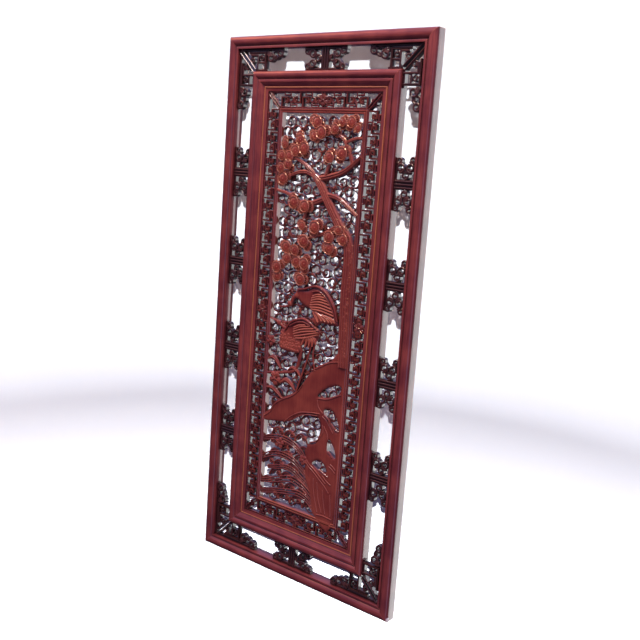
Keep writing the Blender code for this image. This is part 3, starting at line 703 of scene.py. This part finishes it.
def scroll_stem(i):
    """Path of one scroll, begun on the ring of the nearest scroll before it."""
    x, z, size = scrolls[i]
    way = dice.choice((-1, 1))
    start = 0.25
    stem = []
    if i:
        near_x, near_z, near_size = min(
            scrolls[:i], key=lambda other: math.hypot(other[0] - x, other[1] - z) - other[2])
        gap = math.hypot(near_x - x, near_z - z)
        start = math.atan2(near_z - z, near_x - x) / (2 * math.pi)
        reach = near_size * 0.96 / gap
        stem = [(near_x + (x - near_x) * reach, near_z + (z - near_z) * reach, 3.2)]
    winding = curl(x, z, size, start, way * dice.uniform(0.95, 1.3), dice.uniform(2.9, 3.6),
                   tighten=dice.uniform(0.40, 0.62), bud=dice.uniform(1.5, 2.0), steps=17)
    if stem and math.dist(stem[0][:2], winding[0][:2]) > 1.0:
        winding = stem + winding
    return winding


for i in range(len(scrolls)):
    crest = level(0.0) + dice.uniform(-0.7, 0.9) * MM
    carving.append(stroke(scroll_stem(i), SLIM_BAR, crest, NET_BACK))

# The pine
# An old trunk climbs the right of the panel and leans across it. Its bark is
# cut in long ridges, and thin boughs run out to the needle clusters.

BOUGHS = [
    [(104, -90, 30), (100, -20, 30), (98, 70, 33), (99, 145, 32), (90, 184, 28), (65, 215, 22),
     (38, 252, 22), (8, 297, 20), (-8, 312, 13)],
    [(-5, 306, 12), (-18, 322, 11), (-44, 340, 8), (-72, 351, 6)],
    [(-3, 310, 10), (-36, 320, 9), (-70, 312, 8), (-92, 300, 6)],
    [(0, 306, 14), (36, 314, 13), (74, 328, 11), (112, 358, 9)],
    [(91, 342, 10), (80, 368, 9), (62, 394, 8), (34, 404, 8), (6, 400, 6)],
    [(70, 385, 7), (92, 394, 6), (112, 396, 6)],
    [(22, 314, 6), (33, 348, 5)],
    [(-24, 244, 6), (-32, 208, 5)],
    [(-20, 118, 6), (-25, 88, 6)],
    [(-88, 348, 6), (-93, 374, 6)],
    [(28, 268, 13), (-6, 255, 12), (-40, 253, 10), (-78, 269, 7), (-112, 276, 6)],
    [(22, 275, 12), (62, 268, 10), (112, 236, 8)],
    [(66, 212, 10), (30, 192, 9), (-8, 180, 8), (-40, 156, 8), (-76, 124, 7), (-112, 106, 6)],
]


def ridge(path, offset, width):
    """A path that runs beside another, at a share of half its width."""
    points = [Vector(point[:2]) for point in path]
    result = []
    for i, point in enumerate(points):
        along = (points[min(i + 1, len(points) - 1)] - points[max(i - 1, 0)]).normalized()
        side = Vector((-along.y, along.x)) * path[i][2] / 2 * offset
        result.append((point.x + side.x, point.y + side.y, width))
    return result


def fall(share):
    """How far a domed bar falls from its crest, both in shares of half its width."""
    return np.interp(share, *zip(*DOMED_BAR[len(DOMED_BAR) // 2:]))


for order, bough in enumerate(BOUGHS):
    path = flowing(bough)
    half = np.array([point[2] for point in path]) / 2 * UNIT
    crest = level(0.5 if order else 0.62)
    carving.append(stroke(path, DOMED_BAR, crest, CARVING_BACK))
    for offset in (-0.35, 0.35) if order else (-0.62, -0.2, 0.2, 0.62):
        line = ridge(path, offset, 2.0 if order else 2.8)
        carving.append(stroke(line, ROUND_BAR, crest - fall(abs(offset)) * half + 1.5 * MM, crest - 5 * MM))
trunk = flowing(BOUGHS[0])
for point, after in zip(trunk[2:-8], trunk[3:-7]):
    for _ in range(4):
        share, side = dice.random(), dice.uniform(0.05, 0.85)
        px = point[0] + (after[0] - point[0]) * share + point[2] / 2 * side
        pz = point[1] + (after[1] - point[1]) * share
        crest = level(0.62) - fall(side) * point[2] / 2 * UNIT
        carving.append(boss(min(px, EDGE_X - 1), pz, dice.uniform(1.3, 2.3),
                            crest + 1.1 * MM, crest - 0.2 * MM, crest - 3 * MM, 8, 2))

# The rocks and water
# Rocks rise from the lower right in smooth slabs pierced by eye-shaped holes.
# Bands of waves fill the left, and fine lines are cut along the edges.

ROCKS = [
    (-113, -256), (-113, -241), (-94, -228), (-82, -208), (-60, -192), (-36, -180), (-15, -164),
    (0, -144), (22, -112), (41, -98), (72, -82), (109, -74), (109, -443), (56, -443), (45, -420),
    (40, -398), (24, -364), (19, -330), (22, -284), (44, -274), (57, -242), (53, -221), (40, -212),
    (18, -213), (-16, -228), (-34, -243), (-79, -252),
]
ROCK_HOLES = [
    [(42, -167), (54, -152), (72, -140), (92, -133), (105, -136), (99, -150), (82, -160),
     (62, -166)],
    [(62, -196), (74, -189), (88, -193), (98, -206), (106, -225), (102, -234), (88, -228),
     (70, -212)],
    [(39, -322), (55, -311), (70, -315), (82, -331), (70, -337), (50, -331)],
    [(80, -258), (91, -265), (101, -284), (102, -295), (91, -292), (78, -283)],
]


def closed_curve(outline, steps=4):
    """A smooth closed outline through its corners."""
    points = [Vector(point) for point in outline]
    result = []
    for i in range(len(points)):
        four = [points[(i + ahead) % len(points)] for ahead in (-1, 0, 1, 2)]
        result += [between(*four, step / steps) for step in range(steps)]
    return result


def inside(outline, points):
    """Which of the points lie inside an outline."""
    hit = np.zeros(len(points), bool)
    px, pz = points[:, 0], points[:, 1]
    for (x0, z0), (x1, z1) in zip(outline, outline[1:] + outline[:1]):
        if z0 != z1:
            crossing = (z0 > pz) != (z1 > pz)
            hit ^= crossing & (px < (x1 - x0) * (pz - z0) / (z1 - z0) + x0)
    return hit


def edge_distance(outlines, points):
    """Distance from each point to the nearest outline."""
    nearest = np.full(len(points), 1e9)
    for outline in outlines:
        for start, end in zip(outline, outline[1:] + outline[:1]):
            start, way = np.array(start), np.array(end) - np.array(start)
            share = ((points - start) @ way) / max(way @ way, 1e-9)
            gap = points - start - np.clip(share, 0, 1)[:, None] * way
            nearest = np.minimum(nearest, np.hypot(gap[:, 0], gap[:, 1]))
    return nearest


def slab(outline, holes, spacing, crest, drop, ease):
    """A flat carved shape on the sheet, eased down by drop near its edges."""
    rims = [outline, *holes]
    corners = [point for rim in rims for point in rim]
    edges = []
    first = 0
    for rim in rims:
        edges += [(first + i, first + (i + 1) % len(rim)) for i in range(len(rim))]
        first += len(rim)
    xs = [point[0] for point in outline]
    zs = [point[1] for point in outline]
    grid = np.array([(x + (spacing / 2 if row % 2 else 0), z)
                     for row, z in enumerate(np.arange(min(zs), max(zs), spacing * 0.87))
                     for x in np.arange(min(xs), max(xs), spacing)])
    keep = inside(outline, grid) & (edge_distance(rims, grid) > spacing * 0.45)
    for hole in holes:
        keep &= ~inside(hole, grid)
    points = corners + [tuple(point) for point in grid[keep]]

    def shape(points, height):
        flat, _, triangles, *_ = delaunay_2d_cdt([Vector(p) for p in points], edges, [], 0, 1e-6)
        flat = np.array([tuple(p) for p in flat])
        middles = np.array([flat[list(t)].mean(0) for t in triangles])
        kept = inside(outline, middles)
        for hole in holes:
            kept &= ~inside(hole, middles)
        verts = [(x * UNIT, -h, MIDDLE_Z + z * RISE) for (x, z), h in zip(flat, height(flat))]
        return verts, [tuple(t) for t, good in zip(triangles, kept) if good]

    def face_height(flat):
        share = np.clip(edge_distance(rims, flat) / ease, 0, 1)
        return crest - drop * (1 - np.sqrt(share * (2 - share)))

    front_verts, front = shape(points, face_height)
    back_verts, behind = shape(corners, lambda flat: np.full(len(flat), CARVING_BACK))
    count = len(front_verts)
    faces = front + [tuple(count + i for i in reversed(face)) for face in behind]
    faces += [(b, a, count + a, count + b) for a, b in edges]
    return front_verts + back_verts, faces


rock_holes = [closed_curve(hole) for hole in ROCK_HOLES]
carving.append(slab(closed_curve(ROCKS, 3), rock_holes, 4.0, level(0.40), 1.6 * MM, 4.0))

ROCK_LINES = [
    [(45, -171), (65, -169), (80, -164), (95, -156), (107, -150)],
    [(43, -175), (45, -185), (50, -193), (60, -202)],
    [(65, -205), (77, -212), (85, -222), (97, -235)], [(60, -209), (73, -217), (82, -228), (92, -240)],
    [(85, -220), (97, -229), (107, -233)],
    [(52, -205), (25, -208), (-5, -215), (-30, -230), (-48, -246)],
    [(46, -211), (22, -214), (-2, -221), (-22, -234)],
    [(24, -318), (35, -328), (45, -333), (65, -347), (82, -359)],
    [(22, -324), (33, -334), (43, -339), (62, -353), (80, -366), (92, -378)],
    [(61, -331), (75, -337), (87, -342)], [(72, -343), (84, -352), (96, -358)],
    [(91, -311), (99, -315), (106, -321)], [(88, -317), (96, -321), (105, -328)],
    [(82, -284), (88, -288), (94, -295)],
    [(66, -230), (77, -245), (80, -258)], [(30, -276), (48, -268), (64, -246), (62, -228)],
    [(47, -355), (49, -378), (54, -400), (64, -430)], [(58, -362), (61, -384), (66, -404), (76, -428)],
    [(75, -375), (79, -400), (86, -428)], [(96, -380), (99, -404), (101, -430)],
    [(62, -436), (84, -434), (106, -436)],
    [(22, -112), (44, -100), (72, -85), (107, -77)],
    [(-110, -246), (-92, -232), (-80, -212), (-58, -196), (-34, -184), (-14, -168), (0, -148)],
]
for line in ROCK_LINES:
    path = flowing([(x, z, 2.4) for x, z in line])
    carving.append(stroke(path, RIDGED_BAR, level(0.54), level(0.1)))

WAVES = [
    [(-109, -300, 8), (-75, -290, 11), (-40, -288, 12), (-10, -298, 11), (15, -316, 9), (32, -336, 6)],
    [(-109, -345, 8), (-80, -331, 11), (-50, -326, 12), (-20, -331, 12), (10, -347, 10), (36, -366, 6)],
    [(-92, -366, 6), (-60, -358, 9), (-40, -353, 10), (-17, -355, 11), (5, -366, 11), (30, -380, 9),
     (48, -394, 6)],
    [(-109, -404, 8), (-70, -392, 11), (-35, -380, 13), (-13, -377, 14), (10, -383, 14), (30, -393, 12),
     (53, -412, 10), (62, -432, 7)],
    [(-109, -430, 8), (-60, -416, 10), (-20, -408, 12), (5, -405, 12), (28, -411, 11), (46, -424, 9),
     (58, -438, 6)],
]


def in_water(path):
    """A path held inside the rim at the left and at the bottom."""
    return [(max(x, -EDGE_X), max(z, -EDGE_Z), width) for x, z, width in path]


for wave in WAVES:
    path = flowing(wave)
    for offset in (-1.0, 0.0, 1.0):
        line = in_water(ridge(path, offset, 3.0))
        carving.append(stroke(line, RIDGED_BAR, level(0.30), NET_BACK))

# Rows of small scalloped crests fill the water between the long waves, clear of the rocks
CREST_WIDTH = 35
CREST_RISE = 25.0
TOP_CREST = -276
for row in range(7):
    for column in range(5):
        x = 1 - EDGE_X + CREST_WIDTH * (column + (0.5 if row % 2 else 0.1)) + dice.uniform(-3, 3)
        z = TOP_CREST - CREST_RISE * row + dice.uniform(-2, 2)
        if x > 30 - 0.3 * (z + 274) - 26 or x < -104:
            continue
        half = CREST_WIDTH / 2 + 1.5
        for share, width in ((1.0, 4.6), (0.52, 3.2)):
            arch = [(x + half * share * across, z + share * rise, width)
                    for across, rise in ((-1, -9), (-0.6, 5), (0, 10), (0.6, 5), (1, -9))]
            carving.append(stroke(flowing(in_water(arch), 3), SLIM_BAR, level(0.12 * share), NET_BACK))
        tip = curl(x + half * 0.4, z + 2, 5.2, 0.2, -1.1, 2.8, steps=11)
        carving.append(stroke(tip, SLIM_BAR, level(0.2), NET_BACK))

# The plants by the rocks
# Small open flowers and long leaves grow beside the rocks and in the waves, in
# low relief, each leaf with a cut midrib.

for x, z, radius in [(-84, -152, 17), (-66, -22, 8), (-58, -300, 13), (14, -322, 12), (-103, -66, 13)]:
    carving += flower(*on_sheet(x, z), radius * UNIT, level(0.62), CARVING_BACK, 5, x * 0.01)
LEAVES = [
    [(-108, -176, 3), (-92, -176, 11), (-76, -184, 11), (-60, -194, 3)],
    [(-70, -160, 4), (-54, -150, 12), (-38, -156, 11), (-24, -168, 3)],
    [(-109, -110, 3), (-96, -104, 11), (-82, -112, 10), (-70, -126, 3)],
    [(-48, -126, 3), (-36, -118, 9), (-22, -122, 9), (-10, -134, 3)],
]
for leaf in LEAVES:
    path = flowing(leaf, 5)
    carving.append(stroke(path, DOMED_BAR, level(0.42), CARVING_BACK))
    carving.append(stroke(ridge(path, 0.0, 1.4), ROUND_BAR, level(0.50), level(0.1)))

# The cranes
# Two cranes, one above the other, are the highest carving. Their wings are laid
# with long cut feathers under a twin-ribbed leading edge.

UPPER_CRANE = [
    (-40, 48), (-34, 62), (-24, 67), (-2, 65), (10, 73), (24, 75), (38, 71), (52, 60), (66, 44),
    (77, 25), (84, 6), (81, -3), (39, -3), (26, -12), (10, 0), (20, 10), (14, 20), (-15, 30),
    (-27, 37),
]
LOWER_CRANE = [
    (-77, -55), (-74, -35), (-62, -29), (-45, -11), (-28, -4), (-8, -1), (14, -9), (34, -20),
    (36, -32), (24, -52), (-8, -53), (-13, -78), (-44, -82), (-75, -78),
]
for outline in (UPPER_CRANE, LOWER_CRANE):
    carving.append(slab(closed_curve(outline), [], 3.2, level(0.72), 3.4 * MM, 10.0))

plumage = []
WING_FEATHERS = [
    [(13, 53), (24, 58), (37, 59)], [(11, 48), (28, 54), (47, 54)], [(10, 43), (30, 49), (55, 47)],
    [(9, 38), (32, 43), (62, 40)], [(8, 33), (34, 37), (68, 32)], [(8, 28), (36, 30), (72, 25)],
    [(11, 24), (38, 24), (74, 18)],
    [(-34, -24), (-20, -17), (-2, -14)], [(-35, -29), (-16, -20), (12, -15)],
    [(-35, -34), (-12, -25), (22, -18)], [(-34, -39), (-8, -30), (30, -22)],
    [(-32, -44), (-4, -36), (34, -25)], [(-28, -48), (0, -42), (34, -30)],
]
for line in WING_FEATHERS:
    curve = flowing([(*point, 0.0) for point in line], 6)
    path = [(x, z, 4.9 - 1.4 * i / 12) for i, (x, z, _) in enumerate(curve)]
    plumage.append(stroke(path, DOMED_BAR, level(0.93), level(0.5)))
    plumage.append(stroke([(x, z, 1.3) for x, z, _ in path], ROUND_BAR, level(0.98), level(0.5)))
TAIL_FEATHERS = [
    [(0, -40), (-6, -50), (-10, -60)], [(5, -40), (3, -52), (0, -63)], [(10, -39), (12, -51), (10, -62)],
    [(15, -38), (20, -48), (20, -58)], [(20, -36), (27, -44), (30, -52)],
    [(30, 16), (44, 8), (52, 2)], [(40, 16), (54, 9), (62, 2)], [(50, 15), (63, 9), (71, 2)],
    [(60, 13), (72, 8), (78, 3)], [(22, 20), (34, 11), (42, 2)], [(16, 20), (24, 8), (32, -2)],
]
for line in TAIL_FEATHERS:
    path = flowing([(x, z, width) for (x, z), width in zip(line, (5.5, 7.5, 4.0))], 5)
    plumage.append(stroke(path, DOMED_BAR, level(0.86), level(0.2)))
    plumage.append(stroke(ridge(path, 0.0, 1.4), ROUND_BAR, level(0.93), level(0.4)))
LEADING_EDGES = [
    [(-30, 62, 3), (-8, 67, 4), (10, 74, 4), (28, 75, 5), (46, 67, 5), (62, 52, 4), (75, 32, 4), (84, 8, 3)],
    [(12, 63, 3), (30, 66, 3), (46, 57, 3), (60, 43, 3), (72, 27, 3), (79, 10, 2)],
    [(-60, -34, 3), (-44, -14, 4), (-26, -5, 5), (-8, -1, 5), (14, -9, 4), (34, -21, 3)],
    [(-46, -22, 3), (-28, -12, 3), (-8, -8, 3), (12, -13, 3)],
]
for edge in LEADING_EDGES:
    carving.append(stroke(flowing(edge), ROUND_BAR, level(0.99), level(0.3)))
# The lower crane's breast is covered with small round scales
SCALE_PITCH = 6.9
SCALE_RISE = 6.0
SCALE_RADIUS = 3.7
for row in range(6):
    for column in range(9):
        x = -72 + column * SCALE_PITCH + (3.4 if row % 2 else 0) + dice.uniform(-2.2, 2.2)
        z = -44 - row * SCALE_RISE + dice.uniform(-2.2, 2.2)
        if x < -14 and not (row < 1 and column > 3):
            carving.append(boss(x, z, SCALE_RADIUS, level(0.79), level(0.66), level(0.3), 9, 2))
LIMBS = [
    ([(-58, -32, 9), (-70, -27, 8), (-80, -22, 8), (-92, -17, 4), (-106, -14, 2.5)], 0.72),
    ([(-14, -66, 10), (-17, -95, 9), (-28, -122, 8), (-60, -133, 7), (-109, -143, 6)], 0.4),
    ([(-30, 52, 10), (-44, 40, 8), (-52, 24, 7), (-68, 18, 4), (-84, 16, 2.5)], 0.72),
    ([(18, -48, 5), (8, -86, 4), (-6, -128, 4), (-20, -172, 4)], 0.5),
    ([(26, -48, 5), (22, -80, 4), (30, -112, 4)], 0.5),
]
for limb, share in LIMBS:
    carving.append(stroke(flowing(limb), DOMED_BAR, level(share), CARVING_BACK))
for x, z in ((-80, -21), (-53, 27)):
    carving.append(boss(x, z, 6.4, level(0.9), level(0.62), CARVING_BACK, 14, 3))
    carving.append(boss(x - 1.5, z + 1, 1.3, level(0.96), level(0.8), level(0.5), 8, 2))

# The needle clusters
# Round pads of pine needles, carved highest after the cranes. Each is a low
# dome cut into needles that spread from its middle.

NEEDLE_PADS = [
    (-7, 426, 16), (6, 405, 17), (43, 413, 14), (61, 428, 12), (85, 428, 15), (102, 416, 11),
    (-14, 397, 13), (-50, 388, 15), (-38, 370, 17), (-63, 364, 15), (-79, 351, 15),
    (-100, 352, 13), (-94, 378, 12), (-82, 334, 14), (-101, 325, 13), (-94, 302, 17),
    (65, 363, 17), (33, 354, 15), (-58, 252, 17), (-26, 246, 16), (6, 203, 17),
    (-31, 203, 12), (-22, 170, 17), (47, 186, 16), (48, 162, 16), (84, 184, 15),
    (70, 203, 12), (-72, 152, 16), (-46, 148, 14), (-67, 128, 14), (-40, 123, 16),
    (-17, 121, 16), (-95, 105, 16), (-94, 84, 14), (-25, 85, 16),
]
NEEDLE_WOOD = lacquered_rosewood(
    "lacquered_rosewood_needles", body="#702A2A", streak="#96483E", painted_shade="#220A0C", grain_along="z",
    gloss=0.26, edge_wear_and_highlight="#C87A60")

# Each cluster is a main pad with smaller ones half under it, like scales
scales = []
for i, (x, z, radius) in enumerate(NEEDLE_PADS):
    turn = dice.uniform(0, 2 * math.pi)
    scales.append((x, z, 0.84 * radius, 0.66 + 0.06 * (i % 3)))
    for step in range(2):
        angle = turn + (1.4 + dice.uniform(-0.3, 0.3)) * math.pi * step / 1.4
        away = radius * dice.uniform(0.62, 0.80)
        size = radius * dice.uniform(0.62, 0.74)
        near_x = min(max(x + away * math.cos(angle), size - SHEET_WIDTH / 2), SHEET_WIDTH / 2 - size)
        near_z = min(z + away * math.sin(angle), EDGE_Z - size)
        scales.append((near_x, near_z, size, 0.36 + 0.12 * step))

pads = bpy.data.meshes.new("needle_pads")
pads.from_pydata([(x * UNIT, -level(share), MIDDLE_Z + z * RISE) for x, z, _, share in scales], [], [])
pads.attributes.new("pad_radius", "FLOAT", "POINT").data.foreach_set(
    "value", [radius * UNIT for _, _, radius, _ in scales])


def needle_tree():
    """Geometry Nodes: a pad of radiating needles on each point of the mesh."""
    tree = bpy.data.node_groups.new("needle_pads", "GeometryNodeTree")
    face = tree.interface
    face.new_socket("Geometry", in_out="INPUT", socket_type="NodeSocketGeometry")
    for label, value in (("Needle Count", 19), ("Seed", 7)):
        face.new_socket(label, in_out="INPUT", socket_type="NodeSocketInt").default_value = value
    for label, value in (("Needle Width", 0.09), ("Pad Thickness", 0.16), ("Rim Width", 0.06)):
        face.new_socket(label, in_out="INPUT", socket_type="NodeSocketFloat").default_value = value
    face.new_socket("Material", in_out="INPUT", socket_type="NodeSocketMaterial")
    face.new_socket("Geometry", in_out="OUTPUT", socket_type="NodeSocketGeometry")
    given = add_node(tree, "NodeGroupInput")
    needle = add_node(tree, "GeometryNodeMeshCone", {
        "Vertices": 3, "Radius Top": given.outputs["Needle Width"], "Radius Bottom": 0.03, "Depth": 0.72})
    laid = add_node(tree, "GeometryNodeTransform", {
        "Geometry": needle.outputs["Mesh"], "Translation": (0.44, -0.14, 0.0),
        "Rotation": (0.0, math.pi / 2, 0.16)})
    count = add_node(tree, "GeometryNodeMeshLine", {
        "Count": given.outputs["Needle Count"], "Offset": (0.0, 0.0, 0.0)})
    order = add_node(tree, "GeometryNodeInputIndex")
    share = add_node(tree, "ShaderNodeMath", {
        0: order.outputs["Index"], 1: given.outputs["Needle Count"]}, operation="DIVIDE")
    angle = add_node(tree, "ShaderNodeMath", {
        0: share.outputs["Value"], 1: 2 * math.pi}, operation="MULTIPLY")
    turn = add_node(tree, "ShaderNodeCombineXYZ", {"Y": angle.outputs["Value"]})
    fan = add_node(tree, "GeometryNodeInstanceOnPoints", {
        "Points": count.outputs["Mesh"], "Instance": laid.outputs["Geometry"],
        "Rotation": turn.outputs["Vector"]})
    ball = add_node(tree, "GeometryNodeMeshUVSphere", {"Segments": 18, "Rings": 6, "Radius": 0.97})
    flat_scale = add_node(tree, "ShaderNodeCombineXYZ", {
        "X": 1.0, "Y": given.outputs["Pad Thickness"], "Z": 1.0})
    bed = add_node(tree, "GeometryNodeTransform", {
        "Geometry": ball.outputs["Mesh"], "Scale": flat_scale.outputs["Vector"]})
    button = add_node(tree, "GeometryNodeMeshUVSphere", {"Segments": 8, "Rings": 4, "Radius": 0.10})
    raised = add_node(tree, "GeometryNodeTransform", {
        "Geometry": button.outputs["Mesh"], "Translation": (0.0, -0.13, 0.0)})
    rim_line = add_node(tree, "GeometryNodeCurvePrimitiveCircle", {"Resolution": 20, "Radius": 0.93})
    rim_section = add_node(tree, "GeometryNodeCurvePrimitiveCircle", {
        "Resolution": 4, "Radius": given.outputs["Rim Width"]})
    rim = add_node(tree, "GeometryNodeCurveToMesh", {
        "Curve": rim_line.outputs["Curve"], "Profile Curve": rim_section.outputs["Curve"]})
    rim_laid = add_node(tree, "GeometryNodeTransform", {
        "Geometry": rim.outputs["Mesh"], "Translation": (0.0, -0.19, 0.0),
        "Rotation": (math.pi / 2, 0.0, 0.0)})
    pad = add_node(tree, "GeometryNodeJoinGeometry")
    for part in (fan, bed, raised, rim_laid):
        tree.links.new(part.outputs[0], pad.inputs["Geometry"])
    radius = add_node(tree, "GeometryNodeInputNamedAttribute", {"Name": "pad_radius"}, data_type="FLOAT")
    spin = add_node(tree, "FunctionNodeRandomValue", {
        2: 0.0, 3: 1.0, "Seed": given.outputs["Seed"]}, data_type="FLOAT")
    spin_turn = add_node(tree, "ShaderNodeCombineXYZ", {"Y": spin.outputs[1]})
    placed = add_node(tree, "GeometryNodeInstanceOnPoints", {
        "Points": given.outputs["Geometry"], "Instance": pad.outputs["Geometry"],
        "Rotation": spin_turn.outputs["Vector"], "Scale": radius.outputs["Attribute"]})
    real = add_node(tree, "GeometryNodeRealizeInstances", {"Geometry": placed.outputs["Instances"]})
    finish = add_node(tree, "GeometryNodeSetMaterial", {
        "Geometry": real.outputs["Geometry"], "Material": given.outputs["Material"]})
    add_node(tree, "NodeGroupOutput", {"Geometry": finish.outputs["Geometry"]})
    return tree


grower = bpy.data.objects.new("needle_pad_points", pads)
bpy.context.scene.collection.objects.link(grower)
modifier = grower.modifiers.new("needles", "NODES")
modifier.node_group = needle_tree()
for item in modifier.node_group.interface.items_tree:
    if item.in_out == "INPUT" and item.name == "Material":
        modifier[item.identifier] = NEEDLE_WOOD
graph = bpy.context.evaluated_depsgraph_get()
needle_mesh = bpy.data.meshes.new_from_object(grower.evaluated_get(graph))
bpy.data.objects.remove(grower, do_unlink=True)
grown = ([tuple(vert.co) for vert in needle_mesh.vertices],
         [tuple(face.vertices) for face in needle_mesh.polygons])
wooden_piece("carved_relief", {CARVING_WOOD: carving, NEEDLE_WOOD: plumage + [grown]}, ["carved_panel"])

# The studio
# A pale floor under the panel sweeps up into a round cove far behind it. Soft
# lights stand high in front, low in front and at both sides, under a pale sky.

# A camera fitted to the panel's straight edges in the photograph, with its shift kept small
CAMERA_EYE = Vector((1.1675, -1.4816, -0.2662))
CAMERA_TARGET = Vector((0.0181, 0.0, -0.5714))
CAMERA_ROLL = 4.0
FOCAL_PIXELS = 861.5
FRAME_PIXELS = 640
CAMERA_SHIFT = -0.018
FLOOR_DROP = 2 * MM
COVE_RADIUS = 2.4
COVE_HEIGHT = 3.4
COVE_SWEEP = 0.8
COVE_SIDES = 96
COVE_STEPS = 12


def plain_paint(name, colour):
    """Matt studio paint."""
    material = bpy.data.materials.new(name)
    material.use_nodes = True
    shader = material.node_tree.nodes["Principled BSDF"]
    shader.inputs["Base Color"].default_value = linear(colour)
    shader.inputs["Roughness"].default_value = 0.9
    return material


cove_paint = plain_paint("matt_studio_paint", "#74777C")
floor_z = PANEL_LOW.z - FLOOR_DROP
cove = bmesh.new()
around_floor = [2 * math.pi * i / COVE_SIDES for i in range(COVE_SIDES)]
up_wall = [math.pi / 2 * i / COVE_STEPS for i in range(COVE_STEPS + 1)]
rise = [(COVE_RADIUS - COVE_SWEEP * (1 - math.sin(a)), COVE_SWEEP * (1 - math.cos(a))) for a in up_wall]
rounds = [[cove.verts.new((reach * math.cos(a), reach * math.sin(a), floor_z + height))
           for a in around_floor] for reach, height in rise + [(COVE_RADIUS, COVE_HEIGHT)]]
cove.faces.new(rounds[0])
for lower, upper in zip(rounds, rounds[1:]):
    for i in range(COVE_SIDES):
        after = (i + 1) % COVE_SIDES
        cove.faces.new((lower[i], lower[after], upper[after], upper[i]))
bmesh.ops.recalc_face_normals(cove, faces=cove.faces)
cove_mesh = bpy.data.meshes.new("studio_cove")
cove.to_mesh(cove_mesh)
cove.free()
cove_mesh.materials.append(cove_paint)
cove_mesh.shade_smooth()
studio_cove = bpy.data.objects.new("studio_cove", cove_mesh)
bpy.context.scene.collection.objects.link(studio_cove)
studio_cove.visible_shadow = False
studio_cove.visible_diffuse = False
studio_cove.visible_glossy = False

world = bpy.data.worlds.new("pale_sky")
world.use_nodes = True
sky_tree = world.node_tree
sky_place = add_node(sky_tree, "ShaderNodeTexCoord").outputs["Generated"]
sky_height = add_node(sky_tree, "ShaderNodeSeparateXYZ", {"Vector": sky_place})
sky_share = add_node(sky_tree, "ShaderNodeMapRange", {
    "Value": sky_height.outputs["Z"], "From Min": -0.10, "From Max": 0.55})
sky_colour = add_node(sky_tree, "ShaderNodeMix", {
    0: sky_share.outputs["Result"], 6: linear("#3A3648"), 7: linear("#CAC2FF")}, data_type="RGBA")
sky_tree.links.new(sky_colour.outputs[2], sky_tree.nodes["Background"].inputs["Color"])
sky_tree.nodes["Background"].inputs["Strength"].default_value = 0.60
bpy.context.scene.world = world


def aimed(name, data, eye, target):
    """An object at eye that looks at the target."""
    thing = bpy.data.objects.new(name, data)
    thing.location = eye
    thing.rotation_euler = (Vector(target) - Vector(eye)).to_track_quat("-Z", "Y").to_euler()
    bpy.context.scene.collection.objects.link(thing)
    return thing


def soft_light(name, eye, target, size, power, colour):
    """A rectangular soft light, not seen by the camera."""
    light = bpy.data.lights.new(name, "AREA")
    light.shape = "RECTANGLE"
    light.size, light.size_y = size
    light.energy = power
    light.color = linear(colour)[:3]
    thing = aimed(name, light, eye, target)
    thing.visible_camera = False
    return thing


PANEL_MIDDLE = Vector((0.0, 0.0, MIDDLE_Z))


def around(azimuth, elevation, distance):
    """A place at a distance from the panel's middle, by its angles in degrees."""
    a, e = math.radians(azimuth), math.radians(elevation)
    return PANEL_MIDDLE + distance * Vector((
        math.sin(a) * math.cos(e), -math.cos(a) * math.cos(e), math.sin(e)))


# The backdrop light falls on the cove alone, and the panel shades the part behind it
backdrop_light = soft_light("backdrop_light", CAMERA_EYE + Vector((0.0, 0.0, 0.05)), CAMERA_TARGET,
                            (0.003, 0.003), 720, "#FFFFFF")
cove_alone = bpy.data.collections.new("cove_alone")
cove_alone.objects.link(studio_cove)
backdrop_light.light_linking.receiver_collection = cove_alone
backdrop_light.data.spread = math.radians(150)
for name, azimuth, elevation, distance, size, power, colour in (
        ("front_light", -7, 58, 3.07, (0.36, 0.36), 42, "#FFF0EA"),
        ("high_light", 28, 64, 2.7, (0.45, 0.35), 58, "#FFCFA4"),
        ("side_light", 143, -14, 2.4, (0.5, 3.4), 21, "#F8FAFA"),
        ("cool_light", 56, -10, 2.5, (0.9, 2.6), 11, "#CCB0E0"),
        ("low_light", 15, -30, 2.2, (1.6, 1.2), 7, "#FFDCDC"),
        ("band_light", -66, 48, 2.6, (1.2, 0.8), 11, "#FF9458")):
    light = soft_light(name, around(azimuth, elevation, distance), PANEL_MIDDLE, size, power, colour)
    light.visible_glossy = name != "low_light"

lens = bpy.data.cameras.new("camera")
lens.sensor_width = 36.0
lens.lens = 36.0 * FOCAL_PIXELS / FRAME_PIXELS
lens.shift_y = CAMERA_SHIFT
camera = aimed("camera", lens, CAMERA_EYE, CAMERA_TARGET)
camera.rotation_euler.rotate_axis("Z", math.radians(CAMERA_ROLL))
bpy.context.scene.camera = camera
bpy.context.scene.view_settings.view_transform = "Standard"
